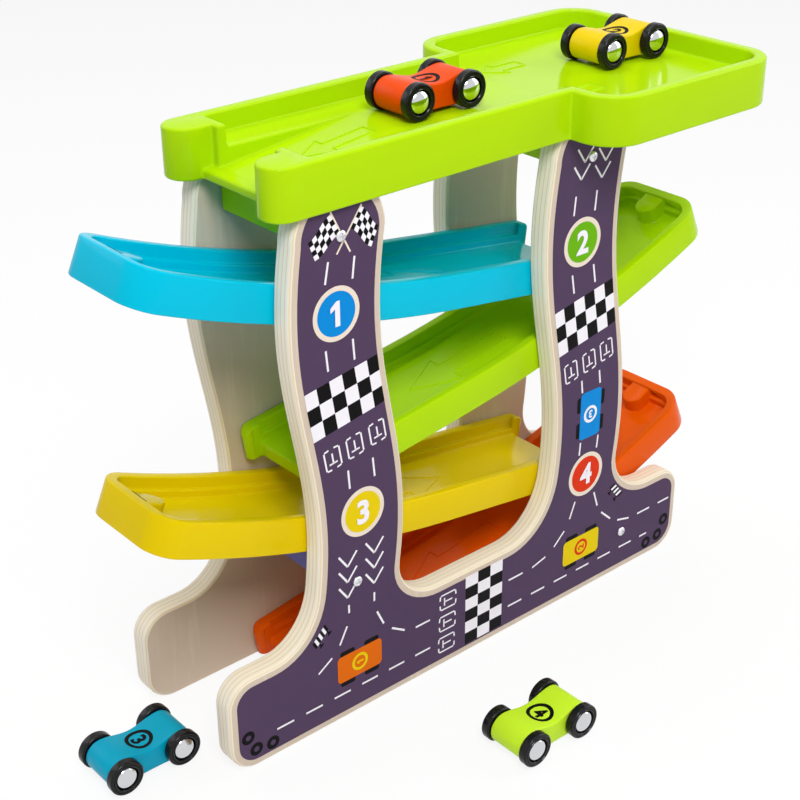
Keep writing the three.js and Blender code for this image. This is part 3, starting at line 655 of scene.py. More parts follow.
PRINT_X = -88.4
ROUNDELS = (("1", 0.0, 221.0, "print_blue"), ("2", 155.6, 213.1, "print_green"),
            ("3", 12.4, 115.2, "print_yellow"), ("4", 167.3, 75.9, "print_red"))
ROUNDEL_RING, ROUNDEL_DISC = 13, 10.6
STROKE = 1.1
LANE_DASHES = (
    (-3.7, 246.3, -5.7, 236.3), (10.8, 245.3, 9.4, 235.0), (-6.5, 205.1, -5.5, 194.7),
    (8.8, 206.3, 9.6, 195.8), (4.2, 140.7, 5.0, 130.6), (19.0, 142.0, 20.0, 131.7),
    (149.4, 238.3, 148.5, 228.5), (164.3, 238.1, 163.4, 227.8), (149.4, 196.9, 151.3, 186.6),
    (164.6, 198.8, 166.5, 188.6), (160.4, 134.5, 161.4, 126.9), (173.6, 136.4, 174.8, 128.6),
    (161.9, 97.0, 161.4, 89.4), (175.5, 97.1, 174.8, 89.4), (2.5, 66.4, 2.6, 61.7),
    (18.5, 66.6, 18.4, 61.5), (1.1, 54.6, -3.7, 45.5), (-17.2, 34.8, -8.7, 40.3),
    (20.0, 54.5, 24.2, 45.4), (29.4, 40.1, 37.8, 34.8), (45.2, 32.9, 54.9, 32.9),
    (110.9, 32.1, 121.4, 32.2), (128.6, 32.4, 138.5, 35.0), (144.9, 38.6, 152.5, 45.6),
    (156.3, 51.6, 160.0, 61.2), (174.9, 61.3, 178.2, 51.5), (181.9, 45.7, 189.7, 38.4),
    (196.0, 34.8, 205.7, 32.3), (212.9, 32.1, 223.2, 32.1), (230.6, 32.1, 239.8, 32.2),
    (216.3, 15.3, 222.3, 15.3))
EDGE_ROWS = (-43.2, 110.8)
EDGE_DASHES, EDGE_PITCH, EDGE_DASH, EDGE_HEIGHT = 6, 17.6, 10.2, 15.4
CHEVRON_TIP, CHEVRON_END = (5.2, -7.4), (11.0, -0.4)
CHEVRONS = (
    (13.7, 96.8), (13.5, 88.2), (13.3, 79.4), (-2.8, 95.8), (-3.0, 87.1), (-3.2, 78.2),
    (149.4, 262.0), (164.2, 259.6), (147.3, 253.6), (162.0, 251.4))
GRID_BOXES = ((-4.4, 150.1, 0.17), (8.6, 152.2, 0.17), (22.0, 154.6, 0.17), (152.0, 142.3, 0.18),
              (165.3, 144.5, 0.18), (178.2, 147.0, 0.18), (67.3, 39.5, -1.571), (66.9, 26.3, -1.571),
              (66.4, 13.2, -1.571))
RINGS = ((236.7, 18.8), (232.2, 10.1), (222.4, 8.7), (-60.0, 19.0), (-55.7, 10.3), (-46.0, 9.0))
RING_OUTER, RING_INNER = 3.7, 1.5
LEG_CHEQUERS = ((-1, -12.4, 188.4, 7.33, 8.53, 0.166), (1, 144.3, 180.4, 7.38, 8.62, 0.184))
FLAG_POLES = ((-1.7, 268.4, 8.6, 247.8), (15.3, 267.8, 1.1, 248.5))
FLAG_POLE_WIDTH = 0.9
FLAGS = (((-1.7, 267.4), (3.3, 257.7), (-10.7, 248.6), (-14.0, 257.6)),
         ((14.9, 267.2), (9.0, 258.4), (20.2, 247.0), (24.5, 255.8)))
PRINTED_CARS = (("1", 8.5, 30.2, 0.0, "print_orange", "print_yellow"),
                ("2", 166.5, 29.6, 0.0, "print_yellow", "print_red"),
                ("3", 168.4, 112.3, math.pi / 2, "print_blue", "print_white"))
BARRIERS = ((-15.3, 56.2, 0.8), (193.2, 55.4, -0.88))
ROUNDEL_NUMBER, PRINTED_CAR_NUMBER, DIGIT_SCALE = 12.5, 4.4, 1.35
NUMBER_LAYER = 5


class Sheet:
    """Flat shapes of one colour and layer, gathered for one panel face."""

    def __init__(self):
        self.shapes = {}

    def add(self, ink_name, layer, points):
        self.shapes.setdefault((ink_name, layer), []).append(points)

    def bar(self, ink_name, layer, x0, z0, x1, z1, width):
        run = math.dist((x0, z0), (x1, z1))
        dx, dz = (x1 - x0) / run * width / 2, (z1 - z0) / run * width / 2
        self.add(ink_name, layer, [(x0 - dz, z0 + dx), (x0 + dz, z0 - dx),
                                   (x1 + dz, z1 - dx), (x1 - dz, z1 + dx)])

    def disc(self, ink_name, layer, x, z, radius):
        self.add(ink_name, layer, arc(x, z, radius, 0, 2 * math.pi, 48)[:-1])


def turned(x, z, turn, points):
    return [(x + a * math.cos(turn) - b * math.sin(turn), z + a * math.sin(turn) + b * math.cos(turn))
            for a, b in points]


def rectangle(width, height, radius=0.0):
    half, tall = width / 2, height / 2
    if radius <= 0:
        return [(-half, -tall), (half, -tall), (half, tall), (-half, tall)]
    points = []
    for index, (sx, sz) in enumerate(((1, 1), (-1, 1), (-1, -1), (1, -1))):
        start = index * math.pi / 2
        points += arc(sx * (half - radius), sz * (tall - radius), radius, start, start + math.pi / 2, 6)
    return points


def within_leg(leg, x, z):
    """Keeps a printed point inside the print of a leg, in print millimetres."""
    sizes = settings("panel")
    middle = (leg_middle(leg) + leg_sway(z * MM)) / MM - PRINT_X
    half = (sizes.leg_width / 2 - sizes.border) / MM
    return (min(max(x, middle - half), middle + half), z)


def add_squares(sheet, layer, columns, rows, corner, least=0.0):
    """Black and white squares between the corners of a grid, without those narrower than least."""
    for column in columns:
        for row in range(rows):
            points = [corner(column, row), corner(column, row + 1), corner(column + 1, row + 1),
                      corner(column + 1, row)]
            if abs(points[3][0] - points[0][0]) + abs(points[2][0] - points[1][0]) < least:
                continue
            name = "print_white" if (column + row) % 2 == 0 else "print_black"
            sheet.add(name, layer, points)


def leg_chequer(sheet, leg, x, z, wide, tall, turn):
    """Three rows of squares across a leg, clipped at the print's edge."""
    def corner(column, row):
        px = x + (column - 1) * wide * math.cos(turn) + row * tall * math.sin(turn)
        pz = z + (column - 1) * wide * math.sin(turn) - row * tall * math.cos(turn)
        return within_leg(leg, px, pz)

    add_squares(sheet, 1, range(-1, 8), 3, corner, 0.4)


def base_chequer(sheet):
    """Three columns of squares across the road on the base."""
    wide, tall, left, top = 8.83, 7.08, 79.6, 47.9

    def corner(column, row):
        return (left + column * wide, top - row * tall)

    add_squares(sheet, 1, range(3), 6, corner)


def race_flag(sheet, top, foot, far_foot, far_top):
    """A slightly waved chequered flag between two points on its pole and its two free corners."""
    columns, rows, ripple = 6, 4, 0.8

    def corner(column, row):
        along, down = column / columns, row / rows
        wave = ripple * math.sin(2 * math.pi * along)
        spot = []
        for k in (0, 1):
            upper = top[k] + (far_top[k] - top[k]) * along
            lower = foot[k] + (far_foot[k] - foot[k]) * along
            spot.append(upper + (lower - upper) * down)
        return (spot[0], spot[1] + wave)

    add_squares(sheet, 2, range(columns), rows, corner)


def printed_car(sheet, x, z, turn, ink_name, badge_ink):
    """A small car seen from above, with a ring for its number."""
    axle, track = 7.6, 8.3
    tyre = rectangle(9.0, 4.2, 1.2)
    body = rectangle(28.0, 15.6, 2.4)
    ring, hole = 5.0, 3.4
    for end in (-axle, axle):
        for side in (-track, track):
            sheet.add("print_black", 1, turned(x, z, turn, [(end + a, side + b) for a, b in tyre]))
    sheet.add(ink_name, 2, turned(x, z, turn, body))
    sheet.disc(badge_ink, 3, x, z, ring)
    sheet.disc(ink_name, 4, x, z, hole)


def barrier(sheet, x, z, turn):
    """A striped road barrier on two legs."""
    long, wide, stripes, slant = 11.2, 4.0, 7, 0.6
    tall, sole, stroke = 2.4, 1.4, 1.0
    step = long / stripes
    half = wide / 2
    for index in range(stripes):
        left = -long / 2 + index * step
        right = left + step
        shape = [(left - slant, -half), (right - slant, -half), (right + slant, half), (left + slant, half)]
        sheet.add("print_white" if index % 2 else "print_black", 2, turned(x, z, turn, shape))
    ground = -half - tall
    for foot in (-0.32 * long, 0.32 * long):
        for line in (((foot, -half), (foot, ground)), ((foot - sole, ground), (foot + sole, ground))):
            (x0, z0), (x1, z1) = turned(x, z, turn, line)
            sheet.bar("print_black", 1, x0, z0, x1, z1, stroke)


def grid_box(sheet, x, z, turn):
    """A starting box: a bracket with a short bar inside."""
    half, end, stroke = 4.4, 5.5, 0.9
    side, corner, gap = end - 0.6, 0.3, 1.5
    stem, bar = 3.0, 2.4
    wide, tall = half - corner, end - corner
    strokes = ((-half, -side, -half, side), (half, -side, half, side),
               (-wide, tall, -gap, end), (gap, end, wide, tall),
               (-wide, -tall, -gap, -end), (gap, -end, wide, -tall),
               (0, stem, 0, -bar), (-bar, -bar, bar, -bar))
    for x0, z0, x1, z1 in strokes:
        (a0, b0), (a1, b1) = turned(x, z, turn, ((x0, z0), (x1, z1)))
        sheet.bar("print_white", 1, a0, b0, a1, b1, stroke)


def gather_print():
    sheet = Sheet()
    for _, x, z, ink_name in ROUNDELS:
        sheet.disc("veneer", 1, x, z, ROUNDEL_RING)
        sheet.disc(ink_name, 2, x, z, ROUNDEL_DISC)
    for dash in LANE_DASHES:
        sheet.bar("print_white", 1, *dash, STROKE)
    for first in EDGE_ROWS:
        for index in range(EDGE_DASHES):
            x = first + index * EDGE_PITCH
            sheet.bar("print_white", 1, x, EDGE_HEIGHT, x + EDGE_DASH, EDGE_HEIGHT, STROKE)
    for x, z in CHEVRONS:
        tip = (x + CHEVRON_TIP[0], z + CHEVRON_TIP[1])
        end = (x + CHEVRON_END[0], z + CHEVRON_END[1])
        sheet.bar("print_white", 1, x, z, *tip, STROKE)
        sheet.bar("print_white", 1, *tip, *end, STROKE)
    for band in LEG_CHEQUERS:
        leg_chequer(sheet, *band)
    base_chequer(sheet)
    for pole in FLAG_POLES:
        sheet.bar("veneer", 1, *pole, FLAG_POLE_WIDTH)
    for flag in FLAGS:
        race_flag(sheet, *flag)
    for x, z, turn in GRID_BOXES:
        grid_box(sheet, x, z, turn)
    for x, z in RINGS:
        sheet.disc("print_black", 1, x, z, RING_OUTER)
        sheet.disc("road", 2, x, z, RING_INNER)
    for _, x, z, turn, ink_name, badge_ink in PRINTED_CARS:
        printed_car(sheet, x, z, turn, ink_name, badge_ink)
    for x, z, turn in BARRIERS:
        barrier(sheet, x, z, turn)
    return sheet


def flat_mesh(name, polygons):
    made = bmesh.new()
    for points in polygons:
        made.faces.new([made.verts.new(point) for point in points])
    return piece(name, made)


ONE = ((0.11, -0.36), (0.11, 0.36), (0.0, 0.36), (-0.2, 0.2), (-0.2, 0.06), (-0.05, 0.15), (-0.05, -0.36))


def digit_mesh(text, size):
    """Faces of a digit, centred on the origin, in the size given."""
    if text == "1":
        return [(x * size, y * size) for x, y in ONE], [tuple(range(len(ONE)))]
    letters = bpy.data.curves.new("digit", "FONT")
    letters.body = text
    letters.size = size
    letters.offset = 0.036 * size
    letters.resolution_u = 4
    holder = bpy.data.objects.new("digit", letters)
    bpy.context.scene.collection.objects.link(holder)
    mesh = bpy.data.meshes.new_from_object(holder.evaluated_get(bpy.context.evaluated_depsgraph_get()))
    points = [(vert.co.x, vert.co.y) for vert in mesh.vertices]
    faces = [tuple(face.vertices) for face in mesh.polygons]
    bpy.data.objects.remove(holder)
    low = [min(p[k] for p in points) for k in (0, 1)]
    high = [max(p[k] for p in points) for k in (0, 1)]
    return [(x - (low[0] + high[0]) / 2, y - (low[1] + high[1]) / 2) for x, y in points], faces


class RAMP_OT_print(bpy.types.Operator):
    """Lay the printed road on the outer faces of both panels."""
    bl_idname = "ramp.print"
    bl_label = "Printed road"

    def execute(self, context):
        for label, face_y, outward in (("front", FRONT_LOW.y, -1), ("back", BACK_HIGH.y, 1)):
            self.lay(label, face_y, outward)
        return {"FINISHED"}

    def lay(self, label, face_y, outward):
        sizes = settings("panel")
        sheet = gather_print()

        def place(x, z, layer):
            lift = outward * sizes.print_lift * (layer + 1)
            return Vector((MIDDLE.x + (x + PRINT_X) * MM, face_y + lift, z * MM))

        road = [Vector((MIDDLE.x + x, face_y + outward * sizes.print_lift, z))
                for x, z in without_repeats(panel_outline(sizes.border))]
        body = flat_mesh(label + "_road", [road])
        self.face_out(body, outward)
        finish_piece(body, ink("road"), "stand", "plywood")
        gathered = {}
        for (ink_name, layer), shapes in sheet.shapes.items():
            polygons = [[place(x, z, layer) for x, z in points] for points in shapes]
            gathered.setdefault(ink_name, []).extend(polygons)
        for ink_name, polygons in gathered.items():
            body = flat_mesh(label + "_" + ink_name, polygons)
            self.face_out(body, outward)
            finish_piece(body, ink(ink_name), "stand", "plywood")
        numbers = [(text, x, z, 0.0, ROUNDEL_NUMBER, "print_white") for text, x, z, _ in ROUNDELS]
        for text, x, z, turn, _, badge_ink in PRINTED_CARS:
            numbers.append((text, x, z, turn + math.pi / 2, PRINTED_CAR_NUMBER, badge_ink))
        for text, x, z, turn, size, ink_name in numbers:
            points, faces = digit_mesh(text, size * DIGIT_SCALE)
            made = bmesh.new()
            spots = turned(x, z, turn, [(-outward * a, b) for a, b in points])
            verts = [made.verts.new(place(a, b, NUMBER_LAYER)) for a, b in spots]
            for face in faces:
                made.faces.new([verts[index] for index in face])
            body = piece(f"{label}_number_{text}_{int(size)}", made)
            self.face_out(body, outward)
            finish_piece(body, ink(ink_name), "stand", "plywood")

    def face_out(self, body, outward):
        made = bmesh.new()
        made.from_mesh(body.data)
        made.normal_update()
        wrong = [face for face in made.faces if face.normal.y * outward < 0]
        bmesh.ops.reverse_faces(made, faces=wrong)
        made.to_mesh(body.data)
        made.free()


# Launch tray

SIDE_GAP = 0.3 * MM
TRAY_ARROWS = (("ramp", -34, -74, 0), ("pad_front", 92, 66, -24), ("pad_back", 92, 66, 30))
TRAY_ARROW_HALF = 9 * MM


def tray_plan(inset, left):
    sizes = settings("tray")
    lane = sizes.lane_width / 2 - inset
    pad = (TRAY_HIGH.y - TRAY_LOW.y) / 2 - inset
    right = TRAY_HIGH.x - MIDDLE.x - inset
    start = sizes.pad_start + inset
    radius = sizes.pad_radius - inset
    quarter = math.pi / 2
    points = [(left, -lane), (start, -lane)]
    points += arc(start + radius, -pad + radius, radius, 2 * quarter, 3 * quarter, 14)
    points += arc(right - radius, -pad + radius, radius, -quarter, 0, 14)
    points += arc(right - radius, pad - radius, radius, 0, quarter, 14)
    points += arc(start + radius, pad - radius, radius, quarter, 2 * quarter, 14)
    return points + [(start, lane), (left, lane)]


class RAMP_OT_tray(bpy.types.Operator):
    """Build the launch tray with its sunk ramp, posts and screw blocks."""
    bl_idname = "ramp.tray"
    bl_label = "Launch tray"

    def execute(self, context):
        sizes = settings("tray")
        left = TRAY_LOW.x - MIDDLE.x
        top = TRAY_HIGH.z
        bottom = top - sizes.height
        floor = top - sizes.depth
        under = floor - sizes.floor
        post = sizes.post_width / 2
        tip = left + post
        lip = left + sizes.lip
        middle = (sizes.lane_width - sizes.post_width) / 2
        quarter = math.pi / 2

        def ramp(x):
            return floor - sizes.ramp_drop * (sizes.ramp_top - x) / (sizes.ramp_top - lip)

        def ramp_space(wall, below):
            """Space over the ramp: wide between the posts, narrow behind the shoulders."""
            wide, narrow = sizes.lane_width / 2 - sizes.post_width + wall, sizes.ramp_width / 2 + wall
            start, end, turn = lip - MM, sizes.ramp_top + 3 * MM, left + sizes.shoulder + wall
            plan = [(start, -wide), (turn, -wide), (turn, -narrow), (end, -narrow),
                    (end, narrow), (turn, narrow), (turn, wide), (start, wide)]
            space = piece("space", prism(plan, plan_view, bottom - 10 * MM, top + 2 * MM))
            start, end, deep = start - MM, end + MM, bottom - 20 * MM
            slope = [(start, ramp(start) - below), (end, ramp(end) - below), (end, deep), (start, deep)]
            return cut(space, piece("slope", prism(slope, side_view, -sizes.lane_width, sizes.lane_width)))

        outline = tray_plan(0, tip) + arc(tip, middle, post, quarter, 3 * quarter, 20)
        outline += [(lip, middle - post), (lip, -middle + post)]
        outline += arc(tip, -middle, post, quarter, 3 * quarter, 20)
        body = piece("launch_tray_shell", prism(outline, plan_view, bottom, top))
        start = lip + sizes.skirt
        hollow = piece("hollow", prism(tray_plan(sizes.skirt, start), plan_view, bottom - MM, under))
        for side in (-1, 1):
            radius = post - sizes.skirt
            pocket = [(start + MM, side * middle + radius)]
            pocket += arc(tip, side * middle, radius, quarter, 3 * quarter, 14)
            pocket += [(start + MM, side * middle - radius)]
            join(hollow, piece("post_hollow", prism(pocket, plan_view, bottom - MM, under)))
        cut(hollow, ramp_space(sizes.skirt, sizes.floor))
        cut(body, hollow)
        inside = tray_plan(sizes.rim, left + sizes.post_length)
        cut(body, piece("pocket", prism(inside, plan_view, floor, top + MM)))
        for node_name in ("screw_front_tray_left", "screw_front_tray_right"):
            low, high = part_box(node_name)
            x = (low.x + high.x) / 2 - MIDDLE.x
            join(body, self.block(x, under, sizes))
        cut(body, ramp_space(0, 0))
        round_edges(body, sizes.edge_round, 4, 50)
        smooth(body, 30)
        finish_piece(body, plastic("lime"), "stand", "lime_plastic", "launch_tray")

        def on_ramp(x, y, rise):
            return MIDDLE + Vector((x, y, ramp(min(x, sizes.ramp_top)) + rise))

        for label, tail, head, across in TRAY_ARROWS:
            arrow = arrow_outline(tail * MM, head * MM, TRAY_ARROW_HALF)
            outline = [(x, y + across * MM) for x, y in arrow]
            mark = piece(f"launch_tray_{label}_arrow", raised_outline(outline, on_ramp))
            finish_piece(mark, plastic("lime"), "stand", "lime_plastic")
        return {"FINISHED"}

    def block(self, x, under, sizes):
        """A hollow block that reaches down between the panels."""
        half = sizes.block_length / 2
        wide = SPACE / 2 - SIDE_GAP
        wall = sizes.skirt
        ceiling = under - sizes.ramp_drop - wall
        outer = [(x - half, -wide), (x + half, -wide), (x + half, wide), (x - half, wide)]
        inner = [(x - half + wall, -wide + wall), (x + half - wall, -wide + wall),
                 (x + half - wall, wide - wall), (x - half + wall, wide - wall)]
        body = piece("block", prism(outer, plan_view, TRAY_LOW.z, under + MM))
        return cut(body, piece("inside", prism(inner, plan_view, TRAY_LOW.z - MM, ceiling)))


# Tracks

LEDGE_START = 9 * MM
TRACK_ARROW_TAIL, TRACK_ARROW_HEAD, TRACK_ARROW_HALF = 0.150, 0.085, 0.013


class TrackLine:
    """Side view of a track: a straight part from the open end, then an arc that steepens."""

    def __init__(self, sizes):
        self.sizes = sizes
        self.bend = (sizes.run - sizes.straight) / (math.sin(sizes.high_slope) - math.sin(sizes.low_slope))
        self.cx = sizes.straight - self.bend * math.sin(sizes.low_slope)
        self.cz = sizes.straight * math.tan(sizes.low_slope) + self.bend * math.cos(sizes.low_slope)

    def low(self, rise, along):
        """A point on the straight part, raised square to the floor."""
        slope = self.sizes.low_slope
        return (along * math.cos(slope) - rise * math.sin(slope),
                along * math.sin(slope) + rise * math.cos(slope))

    def curve(self, rise):
        start = -math.pi / 2 + self.sizes.low_slope
        end = -math.pi / 2 + self.sizes.high_slope
        return arc(self.cx, self.cz, self.bend - rise, start, end, 36)

    def point(self, along, rise):
        """A point at a distance along the underside, raised square to the floor."""
        straight = self.sizes.straight / math.cos(self.sizes.low_slope)
        if along <= straight:
            return self.low(rise, along)
        turn = -math.pi / 2 + self.sizes.low_slope + (along - straight) / self.bend
        radius = self.bend - rise
        return (self.cx + radius * math.cos(turn), self.cz + radius * math.sin(turn))

    def band(self, low_rise, high_rise, start, tip=0.0):
        """Outline between two levels above the underside, with a round upper corner at the open end."""
        points = [self.low(low_rise, start)] + self.curve(low_rise) + list(reversed(self.curve(high_rise)))
        if tip > 0:
            corner = self.low(high_rise - tip, start + tip)
            slope = self.sizes.low_slope
            points += arc(corner[0], corner[1], tip, math.pi / 2 + slope, math.pi + slope, 8)
        else:
            points.append(self.low(high_rise, start))
        return points

    def high_end(self):
        turn = -math.pi / 2 + self.sizes.high_slope
        return (self.cx + self.bend * math.cos(turn), self.cz + self.bend * math.sin(turn))

    def end_place(self, a, b, t):
        """Plan coordinates at the closed end, stood square to its floor."""
        x, z = self.high_end()
        slope = self.sizes.high_slope
        return Vector((x + a * math.cos(slope) - t * math.sin(slope), b,
                       z + a * math.sin(slope) + t * math.cos(slope)))


def local_side(a, b, t):
    return Vector((a, t, b))


def end_plan(line, width, setback, radius):
    """A body that keeps what lies inside the rounded plan of the closed end."""
    half = width / 2
    far = -2 * line.sizes.run
    quarter = math.pi / 2
    turn, wide = -setback - radius, half + 5 * MM
    points = [(far, -wide), (turn, -wide)]
    points += arc(turn, -half + radius, radius, -quarter, 0, 12)
    points += arc(turn, half - radius, radius, 0, quarter, 12)
    points += [(turn, wide), (far, wide)]
    return piece("plan", prism(points, line.end_place, -line.sizes.run, line.sizes.run))


def low_plan(line, width, floor_width):
    """Plan of the open end: two round wall ends with the lip of the floor between them."""
    half, inner = width / 2, floor_width / 2
    radius = (half - inner) / 2
    far = 2 * line.sizes.run
    tip = line.sizes.tip_length
    quarter = math.pi / 2
    wide = half + 5 * MM
    points = [(far, wide), (radius, wide)] + arc(radius, half - radius, radius, quarter, 3 * quarter, 14)
    points += [(tip, inner), (tip, -inner)]
    points += arc(radius, -half + radius, radius, quarter, 3 * quarter, 14) + [(radius, -wide), (far, -wide)]

    def place(a, b, t):
        x, z = line.low(t, a)
        return Vector((x, b, z))

    return piece("low_plan", prism(points, place, -line.sizes.run, line.sizes.run))


def track_channel(line, low_rise, high_rise, start, width, setback, radius):
    band = piece("band", prism(line.band(low_rise, high_rise, start), local_side, -width / 2, width / 2))
    return combine(band, end_plan(line, width, setback, radius), "INTERSECT")


class RAMP_OT_tracks(bpy.types.Operator):
    """Build one moulded track and place it four times."""
    bl_idname = "ramp.tracks"
    bl_label = "Tracks"

    def execute(self, context):
        sizes = settings("track")
        line = TrackLine(sizes)
        width = SPACE - 2 * SIDE_GAP
        pattern = self.pattern(line, sizes, width)

        def on_floor(along, across, rise):
            x, z = line.point(along, sizes.height - sizes.floor_depth + rise)
            return Vector((x, across, z))

        outline = arrow_outline(TRACK_ARROW_TAIL, TRACK_ARROW_HEAD, TRACK_ARROW_HALF)
        arrow = piece("arrow", raised_outline(outline, on_floor))
        for name, (heading, slot) in TRACKS.items():
            low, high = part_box(name)
            shade = slot.split("_")[0]
            turn = Matrix.Rotation(math.pi, 4, "Z") if heading < 0 else Matrix.Identity(4)
            end = high.x if heading > 0 else low.x
            spot = Vector((end - heading * sizes.run, MIDDLE.y, low.z))
            for source, suffix, nodes in ((pattern, "_trough", [name]), (arrow, "_arrow", [])):
                body = bpy.data.objects.new(name + suffix, source.data.copy())
                context.scene.collection.objects.link(body)
                body.data.transform(Matrix.Translation(spot) @ turn)
                finish_piece(body, plastic(shade), "stand", slot, *nodes)
        for source in (pattern, arrow):
            bpy.data.objects.remove(source)
        return {"FINISHED"}

    def pattern(self, line, sizes, width):
        side = line.band(0, sizes.height, 0, sizes.tip)
        body = piece("trough", prism(side, local_side, -width / 2, width / 2))
        combine(body, end_plan(line, width, 0, sizes.corner), "INTERSECT")
        upper = width - 2 * sizes.wall
        lower = upper - 2 * sizes.ledge
        floor = sizes.height - sizes.floor_depth
        ledge = sizes.height - sizes.ledge_depth
        above = sizes.height + 2 * MM
        inner = sizes.corner - sizes.wall
        setback = sizes.wall + sizes.ledge
        early = -5 * MM
        cut(body, track_channel(line, ledge, above, LEDGE_START, upper, sizes.wall, inner))
        cut(body, track_channel(line, floor, above, early, lower, setback, inner - sizes.ledge))
        wall = -sizes.wall + MM
        bump = [(wall, -sizes.bump), (wall, sizes.bump)]
        bump += arc(-sizes.wall - sizes.bump_reach, 0, sizes.bump, math.pi / 2, 1.5 * math.pi, 20)
        join(body, piece("bump", prism(bump, line.end_place, floor - MM, sizes.height - sizes.bump_below)))
        combine(body, low_plan(line, width, lower), "INTERSECT")
        skirt = width - 2 * sizes.skirt
        under = track_channel(line, -2 * MM, floor - sizes.floor, sizes.tip_length + sizes.skirt, skirt,
                              sizes.skirt, sizes.corner - sizes.skirt)
        cut(body, under)
        round_edges(body, sizes.edge_round, 3, 50)
        smooth(body, 30)
        return body


# Braces and screws


class RAMP_OT_braces(bpy.types.Operator):
    """Build the round braces between the panels."""
    bl_idname = "ramp.braces"
    bl_label = "Braces"

    def execute(self, context):
        for name in ("brace_left", "brace_right"):
            low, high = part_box(name)
            radius = (high.z - low.z) / 2
            half = (high.y - low.y) / 2
            ease = 0.8 * MM
            profile = [(0, -half), (radius - ease, -half), (radius, -half + ease), (radius, half - ease),
                       (radius - ease, half), (0, half)]
            body = lathe(name + "_dowel", profile, (low + high) / 2, 64)
            smooth(body)
            finish_piece(body, paint("brace"), "stand", "violet_wood", name)
        return {"FINISHED"}


class RAMP_OT_screws(bpy.types.Operator):
    """Build the cross-head screws."""
    bl_idname = "ramp.screws"
    bl_label = "Screws"

    def execute(self, context):
        for panel, outward in (("front", -1), ("back", 1)):
            for place in ("tray_left", "tray_right", "brace_left", "brace_right"):
                self.screw(f"screw_{panel}_{place}", outward)
        return {"FINISHED"}

    def screw(self, name, outward):
        low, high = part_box(name)
        radius = (high.x - low.x) / 2
        face = FRONT_LOW.y if outward < 0 else BACK_HIGH.y
        head = abs((low.y if outward < 0 else high.y) - face)
        reach = (high.y - low.y) - head
        shank = 0.48 * radius
        seat = 0.05 * MM
        steps = 8
        profile = [(0, head)]
        for step in range(1, steps + 1):
            lean = step / steps * math.pi / 2
            profile.append((radius * math.sin(lean), 0.35 * head + 0.65 * head * math.cos(lean)))
        profile += [(radius, seat), (shank, seat), (shank, -reach + 2 * shank), (0, -reach)]
        centre = Vector(((low.x + high.x) / 2, face, (low.z + high.z) / 2))
        body = lathe(name + "_steel", profile, centre, 36, (0, outward, 0))
        long, narrow = 1.25 * radius, 0.28 * radius
        for wide, tall in ((long, narrow), (narrow, long)):
            made = bmesh.new()
            bmesh.ops.create_cube(made, size=1.0)
            bmesh.ops.scale(made, vec=(wide, head, tall), verts=made.verts)
            bmesh.ops.translate(made, vec=centre + Vector((0, outward * head, 0)), verts=made.verts)
            cut(body, piece("slot", made))
        smooth(body)
        finish_piece(body, steel(), "stand", "screw_steel", name)


# Cars


def car_top(sizes, x):
    """Height of a car's top above its axles at a distance from its middle."""
    half = sizes.wheelbase / 2
    if abs(x) >= half:
        return math.sqrt(max(sizes.end_radius ** 2 - (abs(x) - half) ** 2, 0))
    blend = (1 + math.cos(math.pi * x / half)) / 2
    return sizes.end_radius - sizes.dip * blend


